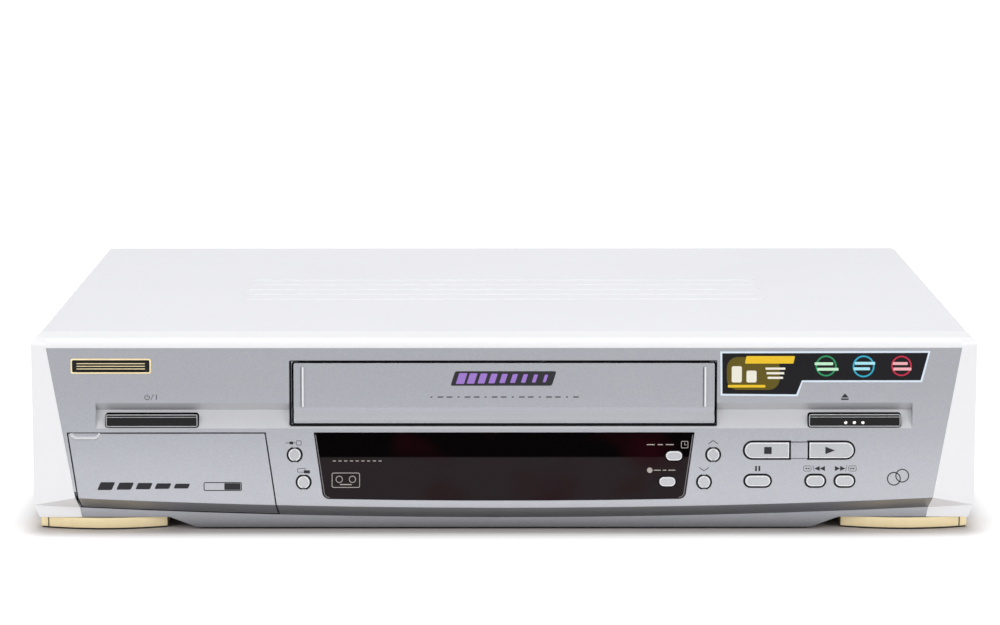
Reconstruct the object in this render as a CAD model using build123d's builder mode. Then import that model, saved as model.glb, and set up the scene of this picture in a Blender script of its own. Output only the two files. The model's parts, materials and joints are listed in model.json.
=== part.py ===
from build123d import *
from math import atan2, cos, degrees, hypot, radians, sin
import os

# A mains-powered video cassette recorder for half-inch tape, 430 mm wide, with its cassette mechanism.
# Millimetres. +X is the viewer's right, +Y runs to the back, +Z is up, and the origin is the middle of the
# footprint on the table. Depths are counted from the skirt, the flat strip under the front, and back_of()
# turns them into Y.

# ---------------------------------------------------------------- case
case_width = 430.0
case_height = 89.0
case_depth = 291.7  # skirt to the back edge of the cover
foot_height = 5.6  # table to the underside of the case
jack_reach = 8.0  # the rear sockets stand this far behind the cover
cover_wall = 0.8
cover_round = 2.2
cover_inset = 1.0  # the cover stands in from the front moulding's sides
cover_drop = 0.5  # and this far below its top
panel_wall = 2.5  # front mouldings
lip_depth = 17.2  # the front moulding reaches this far behind the skirt
seam = 0.3
shell_gap = 0.3  # between parts of the case that stand side by side
hole_play = 0.1  # a fixed shank in its hole
turn_play = 0.05  # a turning or sliding shaft in its bearing
screw_r = 1.5
screw_head_r = 3.2
screw_head = 0.8
rear_screw_head = 1.6
rear_screw_length = 5.0
deck_screw_head = 2.0
seat_gap = 0.1

# ---------------------------------------------------------------- form of the front
face_top = 84.6  # upper edge of the silver face
face_foot = 16.4  # lower corners of the silver face
face_top_reach = 2.9  # how far the face stands in front of the skirt at its upper edge
face_foot_reach = 7.8  # and at its lower corners
face_half_foot = case_width / 2 - 19.8  # half the face's width at its lower corners
chin_height = 11.7  # lower edge of the face on the centre line
crease_height = 5.5  # where the undercut meets the skirt on the centre line
arch_radius = 4000.0  # the chin and the crease rise towards the sides on this radius
edge_round = 4.0
skirt_gap = 0.9  # under the skirt
skirt_half = 140.7
skirt_rise_half = 153.0  # the skirt's ends slope up to the case here
side_crease = 11.3  # the case side turns inward below this height
side_tuck = 2.4
front_margin = 20.0  # cutting tools start this far in front of the skirt

face_slope = (face_foot_reach - face_top_reach) / (face_top - face_foot)
lean = atan2(face_slope, 1)
facet_slope = face_foot_reach / (case_width / 2 - face_half_foot)
face_half_top = case_width / 2 - face_top_reach / facet_slope


def face_reach(height):
    """How far the silver face stands in front of the skirt at this height."""
    return face_top_reach + (face_top - height) * face_slope


# ---------------------------------------------------------------- cassette door and its groove
door_half = 95.5
door_low = 50.4
door_high = 77.7
door_gap = 0.9
door_wall = 2.2
door_round = 0.6
door_axis_height = 81.0
door_axis_in = panel_wall + 1.5  # the door's pins lie this far behind the face
door_pin_r = 0.8
door_ear = 1.6
door_ear_in = 0.3  # from the door's ends to its ears
door_ear_r = 1.2
door_pin_root = 0.5
door_pin_length = 3.8
door_lug_gap = 1.1  # beside the door's ends
door_lug_wall = 2.4
door_lug_behind = 2.0  # behind the pins
door_lug_tall = 5.2
door_lug_rise = 0.4
groove_high = 59.7  # top of the long groove's sloping ceiling
groove_deep_at = 56.2
groove_low = 48.0
groove_depth = 3.4
groove_half = case_width / 2 - 29.6
shelf_start = -3.8
shelf_depth = 30.0
shelf_wall = 1.6
shelf_margin = 3.0  # beside the door

# ---------------------------------------------------------------- flap over the front jacks
flap_high = 45.6
flap_left_high = 17.0 - case_width / 2
flap_left_low = 23.8 - case_width / 2
flap_right_high = -108.8
flap_right_low = -102.2
flap_gap = 0.6
flap_axis_height = 19.0
flap_axis_depth = -3.5
flap_pin_r = 1.2
flap_arm = 2.0
flap_arm_in = 1.0  # the arms stand in from the flap's edges
flap_arm_half = 2.0  # half an arm's size round its pin
flap_arm_root = -6.0  # depth of an arm's root in the flap's wall
flap_arm_rise = 5.0
flap_pin_root = 0.5
flap_pin_length = 3.1  # beyond the flap's edges
flap_lug_wall = 2.6
flap_lug_tall = 6.0
flap_lug_behind = 2.5  # behind the pins
flap_relief = 1.4  # beside the pin, where the wider part of the flap swings down past the face
scoop_x = flap_left_high + 7.7
scoop_half = 6.8
scoop_drop = 2.9
scoop_depth = 1.5
scoop_slope = 35.0
jack_wall_depth = 15.5
jack_row_height = 31.0
jack_roof = 46.8
jack_sill = 11.4
front_jack_spacing = 17.0
front_jack_left = -165.0
front_jack_reach = 7.5  # in front of the jack panel
jack_wall = 1.6
jack_side = 4.0  # the jack panel ends this far inside the flap's widest points
jack_roof_wall = 0.9
jack_roof_front = 2.5  # the roof reaches this far in front of the skirt
jack_body = (11.0, 12.0, 12.0)
jack_seat = 0.1
jack_play = 0.45

# ---------------------------------------------------------------- display window
lens_high = 46.0
lens_low = 16.0
lens_half_high = 86.3
lens_half_low = 82.2
lens_sag = 0.85
lens_round_low = 3.0
lens_round_high = 1.4
lens_slack = 0.1
lens_wall = panel_wall + 2 * lens_slack  # from the face to the lens's lip
lens_lip = 1.8
lens_lip_wall = 1.1
lens_proud = 0.3
lens_fit = 0.15

# ---------------------------------------------------------------- buttons
button_proud = 1.1
bar_proud = 0.4
button_travel = 0.8
button_gap = 0.5  # all round, between a cap and its hole
button_lip = 0.9
button_lip_wall = 1.0
lip_play = 0.3  # between a lip and the wall in front of it
bar_lip_play = 0.5
lens_lip_play = 0.4
stem_r = 1.2
round_cap = 5.6
bar_cap = (41.6, 5.7)
bar_round = 0.9
# middle x, middle height, width and height of each
buttons = {
    "power_button": (-160.0, 51.6, *bar_cap),
    "eject_button": (159.2, 51.6, *bar_cap),
    "stop_button": (119.4, 38.0, 20.2, 7.1),
    "play_button": (148.7, 38.0, 20.2, 7.1),
    "pause_button": (115.3, 24.0, 11.4, 4.8),
    "rewind_button": (141.5, 24.0, 8.4, 4.8),
    "fast_forward_button": (154.8, 24.0, 8.4, 4.8),
    "channel_up_button": (95.0, 36.0, round_cap, round_cap),
    "channel_down_button": (90.9, 23.5, round_cap, round_cap),
    "link_button": (-95.2, 36.0, round_cap, round_cap),
    "format_button": (-91.2, 23.5, round_cap, round_cap),
    "timer_button": (77.2, 35.5, 7.4, 4.2),
    "record_button": (74.2, 23.7, 7.4, 4.2),
}
bar_buttons = ("power_button", "eject_button")
lens_buttons = ("timer_button", "record_button")
stop_play = ("stop_button", "play_button")
bridge_wide = 7.6
bridge_strap = 1.0
bridge_strap_tall = 6.0  # beyond the bridge
cap_chamfer = 0.35

# ---------------------------------------------------------------- front circuit boards
board_wall = 1.6
front_board_depth = 9.0
switch_size = 6.0
switch_body = 3.5
switch_plunger = 1.2
plunger_r = 1.6
tube_thick = 7.0
tube_at = (-7.0, 31.0)
tube_size = (146.0, 22.0)
tube_round = 1.5
tube_seat = 0.1  # between the tube and the board behind it
tube_tip_r = 1.4
tube_tip = 3.0
tube_tip_in = 2.0
key_board_left, key_board_right = -102.0, 186.0
key_board_low, key_board_high = 12.5, 46.8
key_board_step = (134.0, 58.0)  # right of this x the board rises to this height
power_board_at = (-160.0, 57.5)
power_board_size = (58.0, 20.0)
switch_play = 0.25  # between a stem and its switch when the button is pressed
post_r = 2.5

# ---------------------------------------------------------------- base
base_wall = 2.0
rim_height = 16.0
deck_height = 22.0  # underside of the mechanism's steel deck
deck_wall = 1.5
circuit_height = 14.0  # underside of the boards on the base
boss_r = 4.0
small_boss_r = 3.0
boss_in = 5.0  # from a board's edges to its bosses
rear_inset = 1.5  # the rear panel stands in from the cover's back edge
frame_side = 2.0  # between the base and the cover
floor_slots_at = 214.0
floor_slot_long = 34.0
floor_slot_pitch = 7.0
floor_slot_apart = 10.0  # between the two rows
hook_spacing = 120.0
hook_in = 2.0
hook_size = (20.0, 12.0, 2.5)

# ---------------------------------------------------------------- cassette carriage
cassette_half = 94.5
bay_low = 51.2
bay_high = 77.9
carriage_wall = 1.0
sill = 12.0  # the floor in front of its opening
window_at = 56.0  # the middle of the windows in the carriage's roof, behind its front
window_pitch = 70.0
window_size = (36.0, 60.0)
window_round = 4.0
pin_proud = 0.6  # beyond the slide's plates
carriage_front = 96.0
carriage_length = 100.0
carriage_travel = 62.0  # forward, to meet the shelf behind the door
carriage_drop = 21.0
ledge = 9.0
carriage_pin_r = 2.0
carriage_pins = (112.0, 182.0)
pin_height = 60.0
slot_play = 0.3
bracket_x = 100.4
bracket_wall = 1.2
bracket_front = 44.0
bracket_back = 200.0
bracket_top = 81.5
tie_wide = 14.0  # the two strips that join the brackets
tie_wall = 1.0
slide_x = bracket_x + bracket_wall + 0.3
slide_wall = 1.0
slide_margin = 6.0
slide_round = 3.0
slide_bar = 12.0  # the bar over the brackets that joins the two plates
slide_top = 83.2

# ---------------------------------------------------------------- tape path
drum_depth = 236.0
drum_r = 31.0
drum_tilt = 5.0
drum_side = 0.5  # share of the tilt that goes sideways
drum_foot = (24.0, 10.0)  # radius and height
drum_rim = 5.0
drum_hub_r = 12.0
drum_dish = 1.5
drum_shaft_proud = 1.0
head_window = (3.0, 4.0, 2.4)
drum_base_height = 26.0
lower_drum = (4.0, 15.0)  # along the tilted axis, from drum_base_height
upper_drum_low = 15.4
upper_drum_high = 28.0
drum_shaft_r = 4.0
reel_depth = 141.0
reel_spacing = 92.5
reel_r = 15.0
reel_tooth = (1.6, 1.2)
reel_flange = 2.4
reel_hub = (9.0, 5.0)  # radius and height
spindle_r = 4.2
spline = (3.2, 1.6)
spline_end = 3.0  # the splines end this far below the top
bore_lead = 1.0
capstan_x = 58.0
capstan_depth = 204.0
capstan_r = 1.5
capstan_top = 52.0
capstan_bearing = 4.2
flywheel_r = 24.0
capstan_pulley_r = 8.0
clutch_depth = 118.0
clutch_r = 12.0
clutch_top = 30.0
clutch_bearing = 3.5
clutch_gear_r = 7.0
clutch_gear_wall = 3.0
clutch_gear_lift = 2.4
clutch_tooth = (1.6, 0.9)
belt_width = 1.8
belt_wall = 0.8
belt_gap = 0.2
pulley_height = 10.2
pulley_wide = 2.6
guide_start = (36.0, 187.0)
guide_end = (42.0, 255.0)
shoe = (8.0, 10.0, 3.0)
stem_long = 6.0
clip_r = 3.2
clip_wall = 2.0
guide_pin_r = 1.2
guide_pin_long = 19.5
guide_roller_r = 2.8
roller_long = 12.8
flange_r = 3.4
flange_thick = 1.2
flange_low = 4.0
pinch_pivot = (84.0, 214.0)
pinch_reach = 20.9
pinch_roller_r = 7.0
pinch_roller_long = 17.0
pinch_pin_r = 1.5
pinch_pin_long = 26.0
pinch_rest = 140.0  # direction of the arm from its pivot, degrees
tension_pivot = (-76.0, 222.0)
tension_post = (-68.0, 188.0)
tension_pin_r = 1.8
tension_pin_long = 20.0
cam_centre = (-52.0, 222.0)
cam_r = 22.0
cam_tooth = (2.6, 1.3)
cam_wall = 4.4
cam_track_r = 13.0
cam_track_wide = 3.0
cam_track_depth = 1.4
cam_throw = 2.0
worm_r = 4.0
worm_length = 18.0
worm_gap = 0.3
worm_rib = 2.0
worm_groove = 1.3
worm_shaft_r = 1.0
worm_shaft_bare = 4.0  # between the worm and its motor
worm_shaft_in = 3.0
loading_motor_r = 6.0
loading_motor_long = 20.0
motor_strap = (4.0, 12.0)
reel_post_r = 1.5
reel_low = 24.5
reel_top = 44.0
arm_post_r = 2.0
arm_top = 30.5
arm_low = deck_height + deck_wall + 0.4
arm_wide = 5.0
arm_wall = 1.4
arm_eye_r = 4.2
arm_hub_r = 3.4
arm_hub = 5.0
cam_low = 12.6
flywheel_wall = 5.0
bearing_r = 4.0
roller_low = 27.0

# ---------------------------------------------------------------- cooling slots in the sides and the back
vent_long = 20.0
vent_wide = 2.6
vent_pitch = 6.0
vent_rows = 26.0
rear_slots_at = (-60.0, 48.0)

# ---------------------------------------------------------------- rear connectors
rear_wall = 1.2
socket_play = 0.3  # between a socket and its hole in the rear panel
flange_wall = 1.0
flange_wide = 8.5
flange_lap = 0.25
flange_side = 3.0
rear_screws = ((-120.0, 80.0), (0.0, 80.0), (120.0, 80.0), (-200.0, 14.0), (105.0, 14.0))
tuner_size = (26.0, 62.0, 56.0)
rf_x = 125.0
rf_heights = (34.0, 58.0)
rf_r = 4.75
rf_sleeve = 0.9
rf_core_r = 1.0
rf_cavity = 7.0
scart_x = 172.0
scart_heights = (32.5, 57.5)
scart_size = (47.6, 16.0)
scart_rim = 1.6
scart_corner = 5.0
scart_proud = 1.5
scart_body = 19.0
scart_cavity = 12.0
rca_x = (54.0, 70.0, 86.0)
rca_height = 34.0
rca_r = 4.15
rca_bore = 1.6
rca_bore_depth = 9.0
rca_body = (12.0, 14.0, 12.0)
sleeve_collar = 0.5  # the ring at the root of each round socket
inlet_x = -172.0
inlet_height = 29.0
inlet_size = (22.0, 12.0)
inlet_cavity = (17.0, 8.6)
inlet_depth = 14.0
inlet_back = 4.0
inlet_proud = 1.0
inlet_pin_r = 1.2
inlet_pin_length = 10.0

# ---------------------------------------------------------------- frame of reference
lowest_cap = buttons["channel_down_button"]  # its lower edge stands furthest forward
front_reach = face_reach(lowest_cap[1] - lowest_cap[3] / 2) + button_proud
overall_depth = front_reach + case_depth + jack_reach
skirt_y = front_reach - overall_depth / 2
deck_top = deck_height + deck_wall
cover_half = case_width / 2 - cover_inset
cover_top = case_height - cover_drop


def back_of(depth):
    """Y of a point this far behind the skirt."""
    return skirt_y + depth


def spot(x, depth, height=0.0):
    """A point given by its x, its depth behind the skirt and its height."""
    return (x, back_of(depth), height)


def up(height):
    """A height measured along the leaning face."""
    return height / cos(lean)


def face_at(x, height):
    """A point on a sketch that lies in the face."""
    return (x, up(height))


face_origin = (0, skirt_y - face_reach(0), 0)
face_plane = Plane(origin=face_origin, x_dir=(1, 0, 0), z_dir=(0, -cos(lean), sin(lean)))
# sketches on this one read (distance behind the face, distance up the face)
face_side = Plane(origin=face_origin, x_dir=(0, cos(lean), -sin(lean)), z_dir=(1, 0, 0))
skirt_plane = Plane.XZ.offset(-skirt_y)
arch_axis = Axis((0, 0, chin_height + arch_radius), (0, 1, 0))
undercut_slope = (chin_height - crease_height) / face_reach(chin_height)

pieces = {}


def keep(builder, label):
    """Labels a finished piece and files it for export."""
    builder.part.label = label
    pieces[label] = builder.part


def slab(points, plane, amount):
    """A closed outline on a plane, pushed out by amount."""
    with BuildPart() as made:
        with BuildSketch(plane):
            with BuildLine():
                Polyline(*points, close=True)
            make_face()
        extrude(amount=amount)
    return made.part


# ---------------------------------------------------------------- outer form of the front
def undercut_height(depth, inset):
    """Height of the undercut on the centre line at this depth, moved in by inset."""
    return crease_height - depth * undercut_slope + inset * hypot(1, undercut_slope)


def front_form(inset, back):
    """The front as a solid block with every outer wall moved in by inset."""
    half = case_width / 2
    with BuildPart() as form:
        with BuildSketch(skirt_plane.offset(-back)):
            with BuildLine():
                Polyline(
                    (-half, case_height), (half, case_height), (half, side_crease),
                    (half - side_tuck, foot_height), (skirt_rise_half, foot_height),
                    (skirt_half, skirt_gap), (-skirt_half, skirt_gap),
                    (-skirt_rise_half, foot_height), (side_tuck - half, foot_height),
                    (-half, side_crease), close=True,
                )
            make_face()
            if inset:
                offset(amount=-inset, kind=Kind.INTERSECTION)
        extrude(amount=back + front_margin)
        corner = inset * (hypot(1, facet_slope) - facet_slope)
        wide = half - inset
        narrow = wide - (front_margin + corner) / facet_slope
        with BuildSketch(Plane.XY):
            with BuildLine():
                Polyline(
                    (-wide, back_of(back)), (-wide, back_of(corner)), (-narrow, back_of(-front_margin)),
                    (narrow, back_of(-front_margin)), (wide, back_of(corner)), (wide, back_of(back)),
                    close=True,
                )
            make_face()
        extrude(amount=case_height, mode=Mode.INTERSECT)
        split(bisect_by=face_plane.offset(-inset), keep=Keep.BOTTOM)
        with BuildSketch(Plane.YZ):
            with BuildLine():
                Polyline(
                    (back_of(-front_margin), undercut_height(-front_margin, inset)),
                    (back_of(inset), undercut_height(inset, inset)),
                    (back_of(inset), -front_margin), (back_of(-front_margin), -front_margin), close=True,
                )
            make_face()
        revolve(axis=arch_axis, mode=Mode.SUBTRACT)
        if not inset:
            rim = form.faces().sort_by(Axis.Z)[-1].edges()
            fillet(rim.filter_by(lambda edge: edge.center().Y < back_of(back) - 0.1), radius=edge_round)
    return form.part


inner_form = front_form(panel_wall, lip_depth + front_margin)
with BuildPart() as front_shell:
    add(front_form(0, lip_depth))
    add(inner_form, mode=Mode.SUBTRACT)

silver_side = (face_half_top - face_half_foot) / (face_top - face_foot)
silver_low = face_half_foot - silver_side * face_foot
silver_zone = slab(
    [(-silver_low, 0), (silver_low, 0), (face_half_top, face_top), (-face_half_top, face_top)],
    skirt_plane.offset(-lip_depth), lip_depth + front_margin,
)

# ---------------------------------------------------------------- front panel, the white moulding
flap_left = flap_left_low + (flap_left_high - flap_left_low) * flap_axis_height / flap_high
flap_right = flap_right_low + (flap_right_high - flap_right_low) * flap_axis_height / flap_high


def flap_lug(x):
    """A lug behind the wall that one of the flap's pins turns in, from x to the right."""
    with BuildPart() as made:
        with BuildSketch(Plane.YZ.offset(x)):
            with Locations((back_of(flap_axis_depth + flap_lug_behind), flap_axis_height)):
                Rectangle(front_margin, flap_lug_tall, align=(Align.MAX, Align.CENTER))
        extrude(amount=flap_lug_wall)
        add(inner_form, mode=Mode.INTERSECT)
    return made.part


bearing_reach = flap_gap + flap_lug_wall  # from the flap's edges to the far sides of the lugs
with BuildPart() as bearing_line:
    with BuildSketch(Plane.YZ.offset(flap_left - bearing_reach)):
        with Locations((back_of(flap_axis_depth), flap_axis_height)):
            Circle(flap_pin_r + turn_play)
    extrude(amount=flap_right - flap_left + 2 * bearing_reach)
flap_bearings = bearing_line.part

with BuildPart() as front_panel:
    add(front_shell.part)
    add(silver_zone, mode=Mode.SUBTRACT)
    add(flap_lug(flap_left - bearing_reach))
    add(flap_bearings, mode=Mode.SUBTRACT)
keep(front_panel, "front_panel")


# ---------------------------------------------------------------- openings in the face
def groove(grow):
    """The long groove across the face, or the block that backs it when grow is the wall."""
    with BuildPart() as made:
        with BuildSketch(face_side):
            with BuildLine():
                Polyline(
                    (-front_margin, up(groove_high) + front_margin), (0, up(groove_high) + grow),
                    (groove_depth + grow, up(groove_deep_at)), (0, up(groove_low) - grow * 2),
                    (-front_margin, up(groove_low) - front_margin), close=True,
                )
            make_face()
        extrude(amount=groove_half + grow, both=True)
    return made.part


def flap_zone(grow, back):
    """The flap's outline, from the given depth behind the skirt forward."""
    left_slope = (flap_left_low - flap_left_high) / flap_high
    right_slope = (flap_right_low - flap_right_high) / flap_high
    top = flap_high + grow
    return slab(
        [
            (flap_left_low - grow, 0), (flap_right_low + grow, 0),
            (flap_right_low - right_slope * top + grow, top), (flap_left_low - left_slope * top - grow, top),
        ],
        skirt_plane.offset(-back), front_margin + back,
    )


def below_crease(rise):
    """Everything under the crease, with its edge moved up by rise."""
    with BuildPart() as made:
        with BuildSketch(Plane.YZ):
            with Locations((back_of(0), crease_height + rise)):
                Rectangle(4 * front_margin, front_margin, align=(Align.CENTER, Align.MAX))
        revolve(axis=arch_axis)
    return made.part


def lens_outline(grow, depth, amount):
    """The display window's outline, grown all round and pushed out from that depth behind the face."""
    with BuildPart() as made:
        with BuildSketch(face_plane.offset(-depth)):
            with BuildLine():
                Polyline(
                    face_at(-lens_half_low, lens_low), face_at(-lens_half_high, lens_high),
                    face_at(lens_half_high, lens_high), face_at(lens_half_low, lens_low),
                )
                ThreePointArc(
                    face_at(lens_half_low, lens_low), face_at(0, lens_low - lens_sag),
                    face_at(-lens_half_low, lens_low),
                )
            outline = make_face()
            fillet(outline.vertices().group_by(Axis.Y)[0], radius=lens_round_low)
            fillet(outline.vertices().group_by(Axis.Y)[-1], radius=lens_round_high)
            if grow:
                offset(amount=grow)
        extrude(amount=amount)
    return made.part


def cap_outline(name, grow):
    """Draws one button's outline, grown all round, on the current sketch."""
    x, height, wide, tall = buttons[name]
    if name in stop_play:
        # the outer end is round, the inner end is square beside the bridge
        side = -1 if name == "stop_button" else 1
        with Locations(face_at(x + side * (wide - tall) / 2, height)):
            Circle(tall / 2 + grow)
        with Locations(face_at(x - side * tall / 4, height)):
            Rectangle(wide - tall / 2 + 2 * grow, tall + 2 * grow)
    else:
        with Locations(face_at(x, height)):
            if name in bar_buttons:
                RectangleRounded(wide + 2 * grow, tall + 2 * grow, bar_round + grow)
            elif wide == tall:
                Circle(wide / 2 + grow)
            else:
                SlotOverall(wide + 2 * grow, tall + 2 * grow)


board_posts = ((-98.5, 17.0), (101.0, 44.0), (176.0, 38.0), (176.0, 19.0), (-134.0, 63.0), (-186.0, 63.0))

# ---------------------------------------------------------------- front fascia, the silver moulding
with BuildPart() as front_fascia:
    add(front_shell.part)
    add(silver_zone, mode=Mode.INTERSECT)
    add(groove(panel_wall) & inner_form)
    # posts that the circuit boards are screwed to, and the lugs of the door and of the flap
    with BuildSketch(skirt_plane.offset(-front_board_depth)):
        for x, height in board_posts:
            with Locations((x, height)):
                Circle(post_r)
    extrude(until=Until.NEXT)
    add(groove(0), mode=Mode.SUBTRACT)
    with BuildSketch(face_plane.offset(-front_margin)):
        with Locations(face_at(0, (door_low + door_high) / 2)):
            RectangleRounded(
                2 * (door_half + door_gap), up(door_high - door_low) + 2 * door_gap, door_round + door_gap,
            )
    extrude(amount=2 * front_margin, mode=Mode.SUBTRACT)
    with BuildSketch(face_plane.offset(-front_margin)):
        for name in buttons:
            if name not in lens_buttons:
                cap_outline(name, button_gap)
    extrude(amount=2 * front_margin, mode=Mode.SUBTRACT)
    add(lens_outline(lens_fit, front_margin, 2 * front_margin), mode=Mode.SUBTRACT)
    add(flap_zone(flap_gap, front_board_depth) - below_crease(0), mode=Mode.SUBTRACT)
    with BuildSketch(skirt_plane.offset(-panel_wall)):
        with Locations((flap_left, flap_axis_height)):
            Rectangle(flap_gap + flap_relief, flap_axis_height, align=(Align.MAX, Align.MAX))
    extrude(amount=front_margin, mode=Mode.SUBTRACT)

    # the shelf that carries the cassette in
    with BuildSketch(Plane.XY.offset(door_low - door_gap - shelf_wall)):
        with Locations((0, back_of(shelf_depth))):
            Rectangle(
                2 * (door_half + shelf_margin), shelf_depth - shelf_start, align=(Align.CENTER, Align.MAX),
            )
    extrude(amount=shelf_wall)
    # the bridge between stop and play, on a strap behind the wall
    bridge_x = (buttons["stop_button"][0] + buttons["play_button"][0]) / 2
    bridge_height, bridge_tall = buttons["stop_button"][1], buttons["stop_button"][3]
    with BuildSketch(face_plane.offset(-panel_wall)):
        with Locations(face_at(bridge_x, bridge_height)):
            Rectangle(bridge_wide, bridge_tall)
    extrude(amount=panel_wall + button_proud)
    with BuildSketch(face_plane.offset(-panel_wall - bridge_strap)):
        with Locations(face_at(bridge_x, bridge_height)):
            Rectangle(bridge_wide - 2 * button_lip, bridge_tall + bridge_strap_tall)
    extrude(amount=bridge_strap)
    # lugs with the bearings of the door's pins
    for side in (-1, 1):
        with BuildSketch(face_side.offset(side * (door_half + door_lug_gap))):
            with Locations((panel_wall, up(door_axis_height) + door_lug_rise)):
                Rectangle(
                    door_axis_in + door_lug_behind - panel_wall, door_lug_tall, align=(Align.MIN, Align.CENTER),
                )
        extrude(amount=side * door_lug_wall)
    with BuildSketch(face_side):
        with Locations((door_axis_in, up(door_axis_height))):
            Circle(door_pin_r + turn_play)
    extrude(amount=door_half + door_lug_gap + door_lug_wall, both=True, mode=Mode.SUBTRACT)
    add(flap_lug(flap_right + flap_gap))
    add(flap_bearings, mode=Mode.SUBTRACT)
keep(front_fascia, "front_fascia")

# ---------------------------------------------------------------- cassette door
door_span = up(door_high - door_low)
crease_drop = 2.2  # from the groove's upper edge to the upper edge of the door's crease
crease_rise = 3.6  # from the groove's lower edge to the crease's lower edge
crease_depth = 0.9
rib_in = 4.2  # from the door's ends
rib_middle = 66.9
rib_long, rib_wide = 18.9, 1.5
rib_root, rib_proud = 0.2, 0.5
ear_root = 0.2  # an ear's root in the door's wall
ear_low = 6.0  # an ear's lower end on the door, below the door's upper edge
ear_heel = 2.5
ear_top = 0.8
with BuildPart() as cassette_door:
    with BuildSketch(face_plane.offset(-door_wall)):
        with Locations(face_at(0, (door_low + door_high) / 2)):
            RectangleRounded(2 * door_half, door_span, door_round)
    extrude(amount=door_wall)
    # a shallow groove that carries the long one on across the door
    with BuildSketch(face_side):
        with BuildLine():
            Polyline(
                (0, up(groove_high - crease_drop)), (crease_depth, up(groove_deep_at - crease_depth)),
                (0, up(groove_low + crease_rise)), (-crease_depth, up(groove_deep_at)), close=True,
            )
        make_face()
    extrude(amount=door_half + 1, both=True, mode=Mode.SUBTRACT)
    # two fine upright ribs
    with BuildSketch(face_plane.offset(-rib_root)):
        with Locations(face_at(rib_in - door_half, rib_middle), face_at(door_half - rib_in, rib_middle)):
            SlotOverall(rib_long, rib_wide, rotation=90)
    extrude(amount=rib_root + rib_proud)
    # ears with the pins that the door turns on
    for side in (-1, 1):
        behind, before = door_axis_in + door_ear_r, door_axis_in - door_ear_r
        with BuildSketch(face_side.offset(side * (door_half - door_ear_in))):
            with BuildLine():
                Polyline(
                    (door_wall - ear_root, up(door_high) - ear_low), (behind, up(door_high) - ear_heel),
                    (behind, up(door_axis_height)), (before, up(door_axis_height)),
                    (before, up(door_high) - ear_top), (door_wall - ear_root, up(door_high) - ear_top),
                    close=True,
                )
            make_face()
            with Locations((door_axis_in, up(door_axis_height))):
                Circle(door_ear_r)
        extrude(amount=-side * door_ear)
        with BuildSketch(face_side.offset(side * (door_half - door_pin_root))):
            with Locations((door_axis_in, up(door_axis_height))):
                Circle(door_pin_r)
        extrude(amount=side * door_pin_length)
keep(cassette_door, "cassette_door")

# ---------------------------------------------------------------- jack flap
with BuildPart() as jack_flap:
    add(front_shell.part)
    add(flap_zone(0, front_margin), mode=Mode.INTERSECT)
    with BuildSketch(skirt_plane.offset(-panel_wall)):
        Rectangle(2 * case_width, 2 * case_height)
    extrude(amount=front_margin, mode=Mode.INTERSECT)
    add(below_crease(flap_gap), mode=Mode.SUBTRACT)
    # finger scoop in the upper left corner, with sloping sides
    with BuildSketch(face_plane):
        with Locations(face_at(scoop_x, flap_high)):
            SlotOverall(2 * scoop_half, 2 * scoop_drop)
    extrude(amount=-scoop_depth, taper=scoop_slope, mode=Mode.SUBTRACT)
    # arms behind the wall with the pins that the flap turns on
    for edge_x, side in ((flap_left, -1), (flap_right, 1)):
        with BuildSketch(Plane.YZ.offset(edge_x - side * flap_arm_in)):
            with BuildLine():
                Polyline(
                    (back_of(flap_axis_depth + flap_arm_half), flap_axis_height - flap_arm_half),
                    (back_of(flap_axis_depth + flap_arm_half), flap_axis_height + flap_arm_half),
                    (back_of(flap_arm_root), flap_axis_height + flap_arm_rise),
                    (back_of(flap_arm_root), flap_axis_height - flap_arm_half), close=True,
                )
            make_face()
        extrude(amount=-side * flap_arm)
        with BuildSketch(Plane.YZ.offset(edge_x - side * (flap_arm_in + flap_pin_root))):
            with Locations((back_of(flap_axis_depth), flap_axis_height)):
                Circle(flap_pin_r)
        extrude(amount=side * (flap_arm_in + flap_pin_root + flap_pin_length))
keep(jack_flap, "jack_flap")

# ---------------------------------------------------------------- display window and display tube
with BuildPart() as display_lens:
    add(lens_outline(0, lens_wall, lens_wall + lens_proud))
    add(lens_outline(lens_lip, lens_wall + lens_lip_wall + lens_slack, lens_lip_wall + lens_slack))
    with BuildSketch(face_plane.offset(-front_margin)):
        for name in lens_buttons:
            cap_outline(name, button_gap)
    extrude(amount=2 * front_margin, mode=Mode.SUBTRACT)
keep(display_lens, "display_lens")

tube_back = front_board_depth - tube_seat
with BuildPart() as display_tube:
    with BuildSketch(skirt_plane.offset(-tube_back)):
        with Locations(tube_at):
            RectangleRounded(*tube_size, tube_round)
    extrude(amount=tube_thick)
    # the glass tip that the tube was sealed at
    with BuildSketch(skirt_plane.offset(-tube_back + tube_tip_in)):
        with Locations((tube_at[0] - tube_size[0] / 2, tube_at[1])):
            Circle(tube_tip_r)
    extrude(amount=tube_tip)
keep(display_tube, "display_tube")

# ---------------------------------------------------------------- front boards and their switches
with BuildPart() as control_boards:
    with BuildSketch(skirt_plane.offset(-front_board_depth - board_wall)):
        with BuildLine():
            Polyline(
                (key_board_left, key_board_low), (key_board_right, key_board_low),
                (key_board_right, key_board_step[1]), key_board_step,
                (key_board_step[0], key_board_high), (key_board_left, key_board_high), close=True,
            )
        make_face()
        with Locations(power_board_at):
            Rectangle(*power_board_size)
    extrude(amount=board_wall)
keep(control_boards, "control_boards")

switch_front = front_board_depth - switch_body - switch_plunger


def stem_end(name):
    """How far behind the face a button's stem ends, clear of the switch it presses."""
    height = buttons[name][1]
    return (face_reach(height) + switch_front - button_travel - switch_play) / cos(lean)


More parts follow.
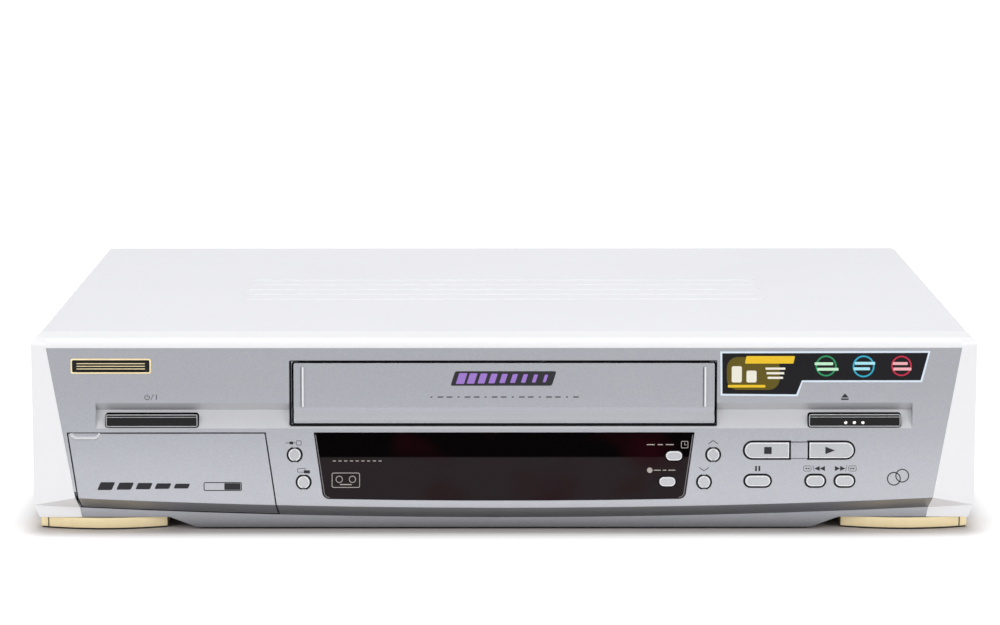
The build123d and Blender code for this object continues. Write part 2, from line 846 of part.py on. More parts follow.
with BuildPart() as tact_switches:
    for name, (x, height, wide, tall) in buttons.items():
        middle = height - stem_end(name) * sin(lean)
        with BuildSketch(skirt_plane.offset(-front_board_depth)):
            with Locations((x, middle)):
                Rectangle(switch_size, switch_size)
        extrude(amount=switch_body)
        with BuildSketch(skirt_plane.offset(-front_board_depth + switch_body)):
            with Locations((x, middle)):
                Circle(plunger_r)
        extrude(amount=switch_plunger)
keep(tact_switches, "tact_switches")


# ---------------------------------------------------------------- buttons
def cap_length(name):
    """How far behind the face a button's cap reaches, past the wall that its lip holds on to."""
    if name in bar_buttons:
        return groove_depth + panel_wall + bar_lip_play
    if name in lens_buttons:
        return lens_wall + lens_lip_wall + lens_lip_play
    return panel_wall + lip_play + (bridge_strap if name in stop_play else 0)


def make_button(name):
    """A cap with a retaining lip and a stem that reaches for its switch."""
    proud = bar_proud if name in bar_buttons else button_proud
    length = cap_length(name)
    with BuildPart() as button:
        with BuildSketch(face_plane.offset(-length - button_lip_wall)):
            cap_outline(name, 0)
        extrude(amount=length + button_lip_wall + proud)
        chamfer(button.faces().sort_by(Axis.Y)[0].edges(), length=cap_chamfer)
        with BuildSketch(face_plane.offset(-length - button_lip_wall)):
            cap_outline(name, button_lip if name not in stop_play else button_lip / 2)
        extrude(amount=button_lip_wall)
        with BuildSketch(face_plane.offset(-stem_end(name))):
            with Locations(face_at(*buttons[name][:2])):
                Circle(stem_r)
        extrude(amount=stem_end(name) - length)
    return button


for name in buttons:
    keep(make_button(name), name)

# ---------------------------------------------------------------- recess and jacks behind the flap
jack_panel_middle = (flap_left_high + flap_right_low) / 2
jack_panel_wide = flap_right_low - flap_left_high - 2 * jack_side
front_jack_x = [front_jack_left + index * front_jack_spacing for index in range(3)]
with BuildPart() as jack_panel:
    with BuildSketch(skirt_plane.offset(-jack_wall_depth - jack_wall)):
        with Locations((jack_panel_middle, jack_roof)):
            Rectangle(jack_panel_wide, jack_roof - jack_sill, align=(Align.CENTER, Align.MAX))
    extrude(amount=jack_wall)
    # roof over the recess, back from the face
    with BuildSketch(Plane.XY.offset(jack_roof - jack_roof_wall)):
        with Locations((jack_panel_middle, back_of(jack_wall_depth))):
            Rectangle(jack_panel_wide, jack_wall_depth + jack_roof_front, align=(Align.CENTER, Align.MAX))
    extrude(amount=jack_roof_wall)
    with BuildSketch(skirt_plane.offset(-jack_wall_depth - jack_wall)):
        with Locations([(x, jack_row_height) for x in front_jack_x]):
            Circle(rca_r + jack_play)
    extrude(amount=jack_wall, mode=Mode.SUBTRACT)
keep(jack_panel, "jack_panel")

with BuildPart() as front_jacks:
    body_front = jack_wall_depth + jack_wall + jack_seat
    for x in front_jack_x:
        with BuildSketch(skirt_plane.offset(-body_front - jack_body[2])):
            with Locations((x, jack_row_height)):
                Rectangle(*jack_body[:2])
        extrude(amount=jack_body[2])
        with BuildSketch(skirt_plane.offset(-body_front - jack_seat)):
            with Locations((x, jack_row_height)):
                Circle(rca_r)
                Circle(rca_bore, mode=Mode.SUBTRACT)
        extrude(amount=body_front + jack_seat - jack_wall_depth + front_jack_reach)
keep(front_jacks, "front_jacks")

# ---------------------------------------------------------------- base
frame_front = lip_depth + shell_gap
frame_back = case_depth - rear_inset - rear_wall - shell_gap
frame_half = cover_half - cover_wall - frame_side
frame_mid = (frame_front + frame_back) / 2
floor_top = foot_height + base_wall
deck_bosses = [(x, depth) for x in (-94.0, 94.0) for depth in (40.0, 262.0)]
board_edge = case_width / 2 - 9.0  # outer edges of the boards
board_back = case_depth - 19.7
main_board_x = (110.0, board_edge)
main_board_y = (28.0, board_back)
power_board_x = (-board_edge, -110.0)
power_board_y = (150.0, board_back)
circuit_areas = ((*main_board_x, *main_board_y), (*power_board_x, *power_board_y))
circuit_bosses = [
    (x, depth)
    for left, right, front, back in circuit_areas
    for x in (left + boss_in, right - boss_in)
    for depth in (front + boss_in, back - boss_in)
]
with BuildPart() as base_frame:
    with BuildSketch(Plane.XY.offset(foot_height)):
        with Locations((0, back_of(frame_mid))):
            Rectangle(2 * frame_half, frame_back - frame_front)
    extrude(amount=rim_height)
    with BuildSketch(Plane.XY.offset(floor_top)):
        with Locations((0, back_of(frame_mid))):
            Rectangle(2 * (frame_half - base_wall), frame_back - frame_front - 2 * base_wall)
    extrude(amount=rim_height, mode=Mode.SUBTRACT)
    # cooling slots under the boards
    with BuildSketch(Plane.XY.offset(foot_height)):
        for x in (sum(main_board_x) / 2, sum(power_board_x) / 2):
            with Locations((x, back_of(floor_slots_at))):
                with GridLocations(floor_slot_pitch, floor_slot_long + floor_slot_apart, 10, 2):
                    SlotOverall(floor_slot_long, vent_wide, rotation=90)
    extrude(amount=base_wall, mode=Mode.SUBTRACT)
    with BuildSketch(Plane.XY.offset(floor_top)):
        with Locations([spot(x, depth)[:2] for x, depth in deck_bosses]):
            Circle(boss_r)
    extrude(amount=deck_height - floor_top)
    with BuildSketch(Plane.XY.offset(floor_top)):
        with Locations([spot(x, depth)[:2] for x, depth in circuit_bosses]):
            Circle(small_boss_r)
    extrude(amount=circuit_height - floor_top)
    # screw holes and a notch for the tuner in the rear wall
    with BuildSketch(skirt_plane.offset(-frame_back)):
        with Locations([place for place in rear_screws if place[1] < foot_height + rim_height]):
            Circle(screw_r + hole_play)
        with Locations((rf_x, circuit_height)):
            Rectangle(tuner_size[0] + 2 * shell_gap, rim_height, align=(Align.CENTER, Align.MIN))
    extrude(amount=base_wall, mode=Mode.SUBTRACT)
    # hooks that reach over the bottom of the front panel
    with BuildSketch(Plane.XY.offset(foot_height + panel_wall + seam)):
        with Locations((0, back_of(lip_depth - hook_in))):
            with GridLocations(hook_spacing, 1, 4, 1):
                Rectangle(*hook_size[:2])
    extrude(amount=hook_size[2])
keep(base_frame, "base_frame")

# ---------------------------------------------------------------- top cover
cover_front = lip_depth + seam / 2
cover_low = foot_height + 1.0
side_screws = [(side, depth) for side in (-1, 1) for depth in (60.0, 240.0)]
side_screw_height = 15.0
side_slots_at = (215.0, 46.0)  # depth and height of the middle of the side slots
bead_middle = 146.0
bead_pitch = 15.5
bead_size = (256.0, 5.0)
bead_proud = 0.4
with BuildPart() as top_cover:
    with BuildSketch(skirt_plane.offset(-case_depth)):
        with Locations((0, (cover_top + cover_low) / 2)):
            Rectangle(2 * cover_half, cover_top - cover_low)
    extrude(amount=case_depth - cover_front)
    fillet(top_cover.edges().filter_by(Axis.Y).group_by(Axis.Z)[-1], radius=cover_round)
    with BuildSketch(skirt_plane.offset(-case_depth - 1)):
        with Locations((0, cover_top - cover_wall)):
            Rectangle(2 * (cover_half - cover_wall), cover_top, align=(Align.CENTER, Align.MAX))
    extrude(amount=case_depth + 2 - cover_front, mode=Mode.SUBTRACT)
    fillet(top_cover.edges().filter_by(Axis.Y).group_by(Axis.Z)[-2], radius=cover_round - cover_wall)
    # cooling slots in the sides
    with BuildSketch(Plane.YZ):
        with Locations((back_of(side_slots_at[0]), side_slots_at[1])):
            with GridLocations(vent_pitch, vent_rows, 16, 2):
                SlotOverall(vent_long, vent_wide, rotation=90)
        for side, depth in side_screws:
            with Locations((back_of(depth), side_screw_height)):
                Circle(screw_r + hole_play)
    extrude(amount=case_width, both=True, mode=Mode.SUBTRACT)
    # long pressed beads that stiffen the top
    with BuildSketch(Plane.XY.offset(cover_top - cover_wall / 2)):
        with Locations((0, back_of(bead_middle))):
            with GridLocations(1, bead_pitch, 1, 5):
                SlotOverall(*bead_size)
    extrude(amount=cover_wall / 2 + bead_proud, taper=30)
keep(top_cover, "top_cover")


# ---------------------------------------------------------------- rear panel
rear_front = frame_back + shell_gap
rear_face = rear_front + rear_wall
rear_plane = skirt_plane.offset(-rear_face)
scart_outer = (scart_size[0] + 2 * scart_rim, scart_size[1] + 2 * scart_rim)
with BuildPart() as rear_panel:
    with BuildSketch(rear_plane):
        with Locations((0, (foot_height + cover_top - cover_wall - shell_gap) / 2)):
            RectangleRounded(
                2 * (cover_half - cover_wall - shell_gap), cover_top - cover_wall - shell_gap - foot_height,
                cover_round,
            )
        with Locations([(rf_x, height) for height in rf_heights]):
            Circle(rf_r + sleeve_collar + socket_play, mode=Mode.SUBTRACT)
        with Locations([(scart_x, height) for height in scart_heights]):
            Rectangle(scart_outer[0] + 2 * socket_play, scart_outer[1] + 2 * socket_play, mode=Mode.SUBTRACT)
        with Locations([(x, rca_height) for x in rca_x]):
            Circle(rca_r + sleeve_collar + socket_play, mode=Mode.SUBTRACT)
        with Locations((inlet_x, inlet_height)):
            Rectangle(inlet_size[0] + 2 * socket_play, inlet_size[1] + 2 * socket_play, mode=Mode.SUBTRACT)
        with Locations(rear_screws):
            Circle(screw_r + hole_play, mode=Mode.SUBTRACT)
        with Locations(rear_slots_at):
            with GridLocations(vent_pitch, vent_rows, 12, 2):
                SlotOverall(vent_long, vent_wide, rotation=90, mode=Mode.SUBTRACT)
    extrude(amount=rear_wall)
    # flange that the cover is screwed down to
    with BuildSketch(Plane.XY.offset(cover_top - cover_wall - shell_gap - flange_wall)):
        with Locations((0, back_of(rear_front + flange_lap))):
            Rectangle(2 * (cover_half - cover_wall - flange_side), flange_wide, align=(Align.CENTER, Align.MAX))
    extrude(amount=flange_wall)
keep(rear_panel, "rear_panel")

with BuildPart() as screws:
    for side, depth in side_screws:
        with BuildSketch(Plane.YZ.offset(side * cover_half)):
            with Locations((back_of(depth), side_screw_height)):
                Circle(screw_head_r)
        extrude(amount=side * screw_head)
        with BuildSketch(Plane.YZ.offset(side * cover_half)):
            with Locations((back_of(depth), side_screw_height)):
                Circle(screw_r)
        extrude(amount=-side * (cover_wall + frame_side - seat_gap))
    for x, height in rear_screws:
        with BuildSketch(rear_plane):
            with Locations((x, height)):
                Circle(screw_head_r)
        extrude(amount=-rear_screw_head)
        with BuildSketch(rear_plane):
            with Locations((x, height)):
                Circle(screw_r)
        extrude(amount=rear_screw_length)
    for x, depth in deck_bosses:
        with Locations(spot(x, depth, deck_top)):
            Cylinder(screw_head_r, deck_screw_head, align=(Align.CENTER, Align.CENTER, Align.MIN))
            Cylinder(screw_r, deck_wall, align=(Align.CENTER, Align.CENTER, Align.MAX))
keep(screws, "screws")

# ---------------------------------------------------------------- feet
foot_x = case_width / 2 - 31.5
foot_half = 28.9
foot_sag = 5.0
foot_back = 34.0
foot_shoulder = 4.0
band_wall = 0.8
band_low = 0.7
band_length = 22.0
band_gap = 0.2  # over the bands
pad_in = 1.2
rear_foot_depth = 262.0
rear_foot_r = 10.0


def foot_block(x, grow, low, tall):
    """A block with a foot's outline seen from above: a bowed front and straight sides."""
    half = foot_half - grow
    shoulder = foot_shoulder + grow
    with BuildPart() as made:
        with BuildSketch(Plane.XY.offset(low)):
            with BuildLine():
                Polyline(
                    spot(x - half, shoulder)[:2], spot(x - half, foot_back)[:2],
                    spot(x + half, foot_back)[:2], spot(x + half, shoulder)[:2],
                )
                ThreePointArc(
                    spot(x + half, shoulder)[:2], spot(x, shoulder - foot_sag)[:2],
                    spot(x - half, shoulder)[:2],
                )
            make_face()
        extrude(amount=tall)
    return made.part


with BuildPart() as front_feet:
    for x in (-foot_x, foot_x):
        add(foot_block(x, band_wall, band_low, foot_height - band_low))
keep(front_feet, "front_feet")

with BuildPart() as foot_bands:
    for x in (-foot_x, foot_x):
        add(foot_block(x, 0, band_low, foot_height - band_low - band_gap))
    with BuildSketch():
        with Locations((0, back_of(band_length))):
            Rectangle(case_width, foot_back, align=(Align.CENTER, Align.MIN))
    extrude(amount=foot_height, mode=Mode.SUBTRACT)
    for x in (-foot_x, foot_x):
        add(foot_block(x, band_wall, 0, foot_height), mode=Mode.SUBTRACT)
keep(foot_bands, "foot_bands")

with BuildPart() as foot_pads:
    for x in (-foot_x, foot_x):
        add(foot_block(x, band_wall + pad_in, 0, band_low))
        with Locations(spot(x, rear_foot_depth)):
            Cylinder(rear_foot_r, foot_height, align=(Align.CENTER, Align.CENTER, Align.MIN))
keep(foot_pads, "foot_pads")

# ---------------------------------------------------------------- boards in the case
circuit_top = circuit_height + board_wall
with BuildPart() as circuit_boards:
    for left, right, front, back in circuit_areas:
        with BuildSketch(Plane.XY.offset(circuit_height)):
            with Locations(spot((left + right) / 2, (front + back) / 2)[:2]):
                Rectangle(right - left, back - front)
        extrude(amount=board_wall)
keep(circuit_boards, "circuit_boards")

main_capacitors = [(x, depth) for x in (124, 140, 156, 172) for depth in (158, 175, 192, 209)]
main_capacitor_size = (4.0, 12.0)  # radius and height
power_capacitors = [(-196, 165), (-196, 185), (-124, 250), (-124, 232), (-140, 250)]
power_capacitor_size = (7.5, 26.0)
# middle x, depth, width, length and height
chips = (
    (150, 70, 28, 28, 2.6), (185, 74, 14, 20, 2.2), (135, 120, 20, 14, 2.2), (175, 128, 24, 12, 2.4),
    (190, 175, 12, 12, 2.0),
)
with BuildPart() as board_parts:
    for x, depth, wide, long, tall in chips:
        with Locations(spot(x, depth, circuit_top)):
            Box(wide, long, tall, align=(Align.CENTER, Align.CENTER, Align.MIN))
    for x, depth in main_capacitors:
        with Locations(spot(x, depth, circuit_top)):
            Cylinder(*main_capacitor_size, align=(Align.CENTER, Align.CENTER, Align.MIN))
    for x, depth in power_capacitors:
        with Locations(spot(x, depth, circuit_top)):
            Cylinder(*power_capacitor_size, align=(Align.CENTER, Align.CENTER, Align.MIN))
keep(board_parts, "board_parts")

transformer_core = (40.0, 12.0, 34.0)
transformer_winding = (26.0, 32.0, 30.0)
with BuildPart() as power_transformer:
    with Locations(spot(-150, 205, circuit_top)):
        Box(*transformer_core, align=(Align.CENTER, Align.CENTER, Align.MIN))
        Box(*transformer_winding, align=(Align.CENTER, Align.CENTER, Align.MIN))
keep(power_transformer, "power_transformer")

sink_plate = (3.0, 46.0, 40.0)
sink_fin = (7.0, 1.4)
sink_pitch = 7.0
with BuildPart() as heat_sink:
    with Locations(spot(-184, 215, circuit_top)):
        Box(*sink_plate, align=(Align.CENTER, Align.CENTER, Align.MIN))
    with Locations(spot(-188, 215, circuit_top)):
        with GridLocations(1, sink_pitch, 1, 7):
            Box(*sink_fin, sink_plate[2], align=(Align.CENTER, Align.CENTER, Align.MIN))
keep(heat_sink, "heat_sink")

with BuildPart() as tuner_box:
    with Locations(spot(rf_x, rear_front - shell_gap, circuit_top)):
        Box(*tuner_size, align=(Align.CENTER, Align.MAX, Align.MIN))
    for height in rf_heights:
        with BuildSketch(skirt_plane.offset(-rear_front + shell_gap)):
            with Locations((rf_x, height)):
                Circle(rf_r + sleeve_collar)
        extrude(amount=-(rear_face - rear_front + shell_gap + sleeve_collar))
        with BuildSketch(skirt_plane.offset(-rear_face)):
            with Locations((rf_x, height)):
                Circle(rf_r)
        extrude(amount=-(case_depth + jack_reach - rear_face))
        with BuildSketch(skirt_plane.offset(-case_depth - jack_reach)):
            with Locations((rf_x, height)):
                Circle(rf_r - rf_sleeve)
                Circle(rf_core_r, mode=Mode.SUBTRACT)
        extrude(amount=rf_cavity, mode=Mode.SUBTRACT)
keep(tuner_box, "tuner_box")

with BuildPart() as scart_sockets:
    for height in scart_heights:
        with BuildSketch(skirt_plane.offset(-rear_face - scart_proud)):
            with Locations((scart_x, height)):
                Rectangle(*scart_outer)
        extrude(amount=scart_body)
        left, right = scart_x - scart_size[0] / 2, scart_x + scart_size[0] / 2
        low, high = height - scart_size[1] / 2, height + scart_size[1] / 2
        with BuildSketch(skirt_plane.offset(-rear_face - scart_proud)):
            with BuildLine():
                Polyline(
                    (left, low), (right, low), (right, high),
                    (left + scart_corner, high), (left, high - scart_corner), close=True,
                )
            make_face()
        extrude(amount=scart_cavity, mode=Mode.SUBTRACT)
keep(scart_sockets, "scart_sockets")

with BuildPart() as rca_jacks:
    for x in rca_x:
        with BuildSketch(skirt_plane.offset(-rear_front + rca_body[2])):
            with Locations((x, rca_height)):
                Rectangle(*rca_body[:2])
        extrude(amount=-rca_body[2])
        for collar, reach in ((sleeve_collar, rear_face + sleeve_collar), (0, case_depth + jack_reach)):
            with BuildSketch(skirt_plane.offset(-rear_front)):
                with Locations((x, rca_height)):
                    Circle(rca_r + collar)
            extrude(amount=-(reach - rear_front))
        with BuildSketch(skirt_plane.offset(-case_depth - jack_reach)):
            with Locations((x, rca_height)):
                Circle(rca_bore)
        extrude(amount=rca_bore_depth, mode=Mode.SUBTRACT)
keep(rca_jacks, "rca_jacks")

inlet_face = rear_face + inlet_proud
with BuildPart() as mains_inlet:
    with BuildSketch(skirt_plane.offset(-inlet_face)):
        with Locations((inlet_x, inlet_height)):
            Rectangle(*inlet_size)
    extrude(amount=inlet_depth + inlet_back)
    with BuildSketch(skirt_plane.offset(-inlet_face)):
        with Locations((inlet_x, inlet_height)):
            SlotOverall(*inlet_cavity)
    extrude(amount=inlet_depth, mode=Mode.SUBTRACT)
    with BuildSketch(skirt_plane.offset(-inlet_face + inlet_depth)):
        with Locations((inlet_x, inlet_height)):
            with GridLocations(inlet_cavity[1], 1, 2, 1):
                Circle(inlet_pin_r)
    extrude(amount=-inlet_pin_length)
keep(mains_inlet, "mains_inlet")

# ---------------------------------------------------------------- steel deck of the mechanism
deck_half = 101.8
deck_front = 34.0
deck_back = 270.0
deck_round = 4.0
cutout_at = 66.0
cutout_pitch = 39.0
cutout_size = (33.0, 34.0)
cutout_round = 5.0
slot_spare = 0.5  # beyond the guides' travel at each end of their slots
post_end = 1.5  # a reel's post ends this far below the reel's top
cam_post_spare = 1.0
guide_slot_r = 1.5

with BuildPart() as deck_plate:
    with BuildSketch(Plane.XY.offset(deck_height)):
        with Locations((0, back_of((deck_front + deck_back) / 2))):
            RectangleRounded(2 * deck_half, deck_back - deck_front, deck_round)
        # lightening cut-outs, shaft holes and the two slots that the guides run in
        with Locations((0, back_of(cutout_at))):
            with GridLocations(cutout_pitch, 1, 3, 1):
                RectangleRounded(*cutout_size, cutout_round, mode=Mode.SUBTRACT)
        with Locations(spot(capstan_x, capstan_depth)[:2], spot(0, clutch_depth)[:2]):
            Circle(bearing_r + hole_play, mode=Mode.SUBTRACT)
        with Locations([spot(x, depth)[:2] for x, depth in deck_bosses]):
            Circle(screw_r + hole_play, mode=Mode.SUBTRACT)
    extrude(amount=deck_wall)
    for side in (-1, 1):
        middle = spot(side * (guide_start[0] + guide_end[0]) / 2, (guide_start[1] + guide_end[1]) / 2)[:2]
        run = (side * (guide_end[0] - guide_start[0]), guide_end[1] - guide_start[1])
        with BuildSketch(Plane.XY.offset(deck_height)):
            with Locations(middle):
                SlotOverall(
                    hypot(*run) + 2 * guide_slot_r + 2 * slot_spare, 2 * guide_slot_r,
                    rotation=degrees(atan2(run[1], run[0])),
                )
        extrude(amount=deck_wall, mode=Mode.SUBTRACT)
    # fixed posts: reels above the deck, arms above it and the cam gear below it
    for x in (-reel_spacing / 2, reel_spacing / 2):
        with Locations(spot(x, reel_depth, deck_top)):
            Cylinder(reel_post_r, reel_top - deck_top - post_end, align=(Align.CENTER, Align.CENTER, Align.MIN))
    for x, depth in (pinch_pivot, tension_pivot):
        with Locations(spot(x, depth, deck_top)):
            Cylinder(arm_post_r, arm_top - deck_top, align=(Align.CENTER, Align.CENTER, Align.MIN))
    with Locations(spot(*cam_centre, deck_height)):
        cam_post = deck_height - cam_low + cam_post_spare
        Cylinder(arm_post_r, cam_post, align=(Align.CENTER, Align.CENTER, Align.MAX))
keep(deck_plate, "deck_plate")

# ---------------------------------------------------------------- drum
drum_plane = Plane(
    origin=spot(0, drum_depth, drum_base_height),
    x_dir=(1, 0, 0),
    z_dir=(-sin(radians(drum_tilt)) * drum_side, -sin(radians(drum_tilt)), cos(radians(drum_tilt))),
)
with BuildPart() as drum_base:
    with Locations(spot(0, drum_depth, deck_top)):
        Cylinder(*drum_foot, align=(Align.CENTER, Align.CENTER, Align.MIN))
    with BuildSketch(drum_plane.offset(lower_drum[0])):
        Circle(drum_r)
    extrude(amount=lower_drum[1] - lower_drum[0])
    with BuildSketch(drum_plane.offset(lower_drum[0])):
        Circle(drum_shaft_r)
    extrude(amount=upper_drum_high - lower_drum[0] + drum_shaft_proud)
keep(drum_base, "drum_base")

with BuildPart() as drum_cylinder:
    with BuildSketch(drum_plane.offset(upper_drum_low)):
        Circle(drum_r)
        Circle(drum_shaft_r + turn_play, mode=Mode.SUBTRACT)
    extrude(amount=upper_drum_high - upper_drum_low)
    with BuildSketch(drum_plane.offset(upper_drum_high - drum_dish)):
        Circle(drum_r - drum_rim)
        Circle(drum_hub_r, mode=Mode.SUBTRACT)
    extrude(amount=drum_dish, mode=Mode.SUBTRACT)
    # windows for the heads in the lower edge
    with BuildSketch(drum_plane.offset(upper_drum_low)):
        with PolarLocations(drum_r, 6):
            Rectangle(*head_window[:2])
    extrude(amount=head_window[2], mode=Mode.SUBTRACT)
keep(drum_cylinder, "drum_cylinder")

# ---------------------------------------------------------------- capstan, clutch and belt
capstan_at = spot(capstan_x, capstan_depth)
clutch_at = spot(0, clutch_depth)
with BuildPart() as shaft_bearings:
    for place, tall in ((capstan_at, capstan_bearing), (clutch_at, clutch_bearing)):
        with Locations((*place[:2], deck_height)):
            Cylinder(bearing_r, tall, align=(Align.CENTER, Align.CENTER, Align.MIN))
            Cylinder(capstan_r + turn_play, 2 * case_height, mode=Mode.SUBTRACT)
keep(shaft_bearings, "shaft_bearings")

with BuildPart() as capstan:
    with Locations((*capstan_at[:2], pulley_height)):
        Cylinder(capstan_r, capstan_top - pulley_height, align=(Align.CENTER, Align.CENTER, Align.MIN))
        Cylinder(capstan_pulley_r, pulley_wide, align=(Align.CENTER, Align.CENTER, Align.MIN))
    with Locations((*capstan_at[:2], pulley_height + pulley_wide)):
        Cylinder(flywheel_r, flywheel_wall, align=(Align.CENTER, Align.CENTER, Align.MIN))
keep(capstan, "capstan")

with BuildPart() as clutch_pulley:
    with Locations((*clutch_at[:2], pulley_height)):
        Cylinder(clutch_r, pulley_wide, align=(Align.CENTER, Align.CENTER, Align.MIN))
        Cylinder(capstan_r, clutch_top - pulley_height, align=(Align.CENTER, Align.CENTER, Align.MIN))
    with BuildSketch(Plane.XY.offset(deck_top + clutch_gear_lift)):
        with Locations(clutch_at[:2]):
            Circle(clutch_gear_r)
            with PolarLocations(clutch_gear_r, 20):
                Rectangle(*clutch_tooth)
    extrude(amount=clutch_gear_wall)
keep(clutch_pulley, "clutch_pulley")

belt_low = pulley_height + (pulley_wide - belt_width) / 2
belt_run = Vector(*clutch_at) - Vector(*capstan_at)
belt_turn = degrees(atan2(belt_run.Y, belt_run.X))


def belt_loop(grow):
    """The area inside a belt that stands off both pulleys by grow."""
    big, small = clutch_r + grow, capstan_pulley_r + grow
    lift = (small - big) / belt_run.length
    cosine = (1 - lift ** 2) ** 0.5
    with BuildSketch(Plane.XY.offset(belt_low)) as made:
        with Locations(Location((*capstan_at[:2], 0), (0, 0, belt_turn))):
            Circle(small)
        with Locations(Location((*clutch_at[:2], 0), (0, 0, belt_turn))):
            Circle(big)
        with Locations(Location((*capstan_at[:2], 0), (0, 0, belt_turn))):
            Polygon(
                (small * lift, small * cosine), (small * lift, -small * cosine),
                (belt_run.length + big * lift, -big * cosine), (belt_run.length + big * lift, big * cosine),
                align=None,
            )
    return made.sketch


with BuildPart() as drive_belt:
    extrude(belt_loop(belt_gap + belt_wall), amount=belt_width)
    extrude(belt_loop(belt_gap), amount=belt_width, mode=Mode.SUBTRACT)
keep(drive_belt, "drive_belt")


# ---------------------------------------------------------------- reel tables
def make_reel(x):
    """A reel table: a toothed flange, a hub and a splined spindle on a fixed post."""
    with BuildPart() as reel:
        with BuildSketch(Plane.XY.offset(reel_low)):
            with Locations(spot(x, reel_depth)[:2]):
                Circle(reel_r - reel_tooth[0] / 2)
                with PolarLocations(reel_r - reel_tooth[0] / 2, 36):
                    Rectangle(*reel_tooth)
        extrude(amount=reel_flange)
        with Locations(spot(x, reel_depth, reel_low)):
            Cylinder(*reel_hub, align=(Align.CENTER, Align.CENTER, Align.MIN))
            Cylinder(spindle_r, reel_top - reel_low, align=(Align.CENTER, Align.CENTER, Align.MIN))
        with BuildSketch(Plane.XY.offset(reel_low)):
            with Locations(spot(x, reel_depth)[:2]):
                with PolarLocations(spindle_r, 3):
                    Rectangle(*spline)
        extrude(amount=reel_top - reel_low - spline_end)
        with Locations(spot(x, reel_depth, reel_low - bore_lead)):
            Cylinder(
                reel_post_r + turn_play, reel_top - reel_low, align=(Align.CENTER, Align.CENTER, Align.MIN),
                mode=Mode.SUBTRACT,
            )
    return reel


keep(make_reel(-reel_spacing / 2), "supply_reel_table")
keep(make_reel(reel_spacing / 2), "take_up_reel_table")


# ---------------------------------------------------------------- tape guides
def make_guide(side):
    """A guide that rides a slot in the deck: a shoe above it, a clip below it and a roller post."""
    foot = spot(side * guide_start[0], guide_start[1])
    with BuildPart() as guide:
        with Locations((*foot[:2], deck_top + seam)):
            Box(*shoe, align=(Align.CENTER, Align.CENTER, Align.MIN))
        with Locations((*foot[:2], deck_height - seam - clip_wall)):
            Cylinder(guide_slot_r - slot_play, stem_long, align=(Align.CENTER, Align.CENTER, Align.MIN))
            Cylinder(clip_r, clip_wall, align=(Align.CENTER, Align.CENTER, Align.MIN))
        with Locations((*foot[:2], deck_top + seam + shoe[2])):
            Cylinder(guide_pin_r, guide_pin_long, align=(Align.CENTER, Align.CENTER, Align.MIN))
        flange_high = flange_low + flange_thick + roller_long
        for low, radius, tall in (
            (flange_low, flange_r, flange_thick), (flange_low + flange_thick, guide_roller_r, roller_long),
            (flange_high, flange_r, flange_thick),
        ):
            with Locations((*foot[:2], deck_top + low)):
                Cylinder(radius, tall, align=(Align.CENTER, Align.CENTER, Align.MIN))
    return guide


keep(make_guide(-1), "supply_guide")
keep(make_guide(1), "take_up_guide")


# ---------------------------------------------------------------- swinging arms
def polar(centre, radius, direction):
    """A point at this distance and direction from a centre, as (x, depth)."""
    return (centre[0] + radius * cos(radians(direction)), centre[1] + radius * sin(radians(direction)))


def make_arm(pivot, tip):
    """A flat arm with a hub on a fixed post."""
    run = (tip[0] - pivot[0], tip[1] - pivot[1])
    with BuildPart() as arm:
        with BuildSketch(Plane.XY.offset(arm_low)):
            with Locations(spot((pivot[0] + tip[0]) / 2, (pivot[1] + tip[1]) / 2)[:2]):
                SlotCenterToCenter(hypot(*run), arm_wide, rotation=degrees(atan2(run[1], run[0])))
            with Locations(spot(*pivot)[:2]):
                Circle(arm_eye_r)
        extrude(amount=arm_wall)
        with BuildSketch(Plane.XY.offset(arm_low)):
            with Locations(spot(*pivot)[:2]):
                Circle(arm_hub_r)
        extrude(amount=arm_hub)
        with Locations(spot(*pivot, arm_low - bore_lead)):
            Cylinder(
                arm_post_r + turn_play, 2 * arm_top, align=(Align.CENTER, Align.CENTER, Align.MIN),
                mode=Mode.SUBTRACT,
            )
    return arm.part


pinch_tip = polar(pinch_pivot, pinch_reach, pinch_rest)
with BuildPart() as pinch_arm:
    add(make_arm(pinch_pivot, pinch_tip))
    with Locations(spot(*pinch_tip, arm_low)):
        Cylinder(pinch_pin_r, pinch_pin_long, align=(Align.CENTER, Align.CENTER, Align.MIN))
keep(pinch_arm, "pinch_arm")

with BuildPart() as pinch_roller:
    with Locations(spot(*pinch_tip, roller_low)):
        Cylinder(pinch_roller_r, pinch_roller_long, align=(Align.CENTER, Align.CENTER, Align.MIN))
        Cylinder(pinch_pin_r + turn_play, 2 * pinch_pin_long, mode=Mode.SUBTRACT)
keep(pinch_roller, "pinch_roller")

with BuildPart() as tension_arm:
    add(make_arm(tension_pivot, tension_post))
    with Locations(spot(*tension_post, arm_low)):
        Cylinder(tension_pin_r, tension_pin_long, align=(Align.CENTER, Align.CENTER, Align.MIN))
keep(tension_arm, "tension_arm")

# ---------------------------------------------------------------- fixed heads
# for each head: where it stands, its base and its block
heads = (
    ((50.5, 218), (9.0, 11.0, 4.0), (6.0, 7.0, 20.0)),
    ((-58, 214), (11.0, 9.0, 3.5), (8.0, 5.0, 19.0)),
)
with BuildPart() as tape_heads:
    for place, base_size, block_size in heads:
        with Locations(spot(*place, deck_top)):
            Box(*base_size, align=(Align.CENTER, Align.CENTER, Align.MIN))
            Box(*block_size, align=(Align.CENTER, Align.CENTER, Align.MIN))
keep(tape_heads, "tape_heads")

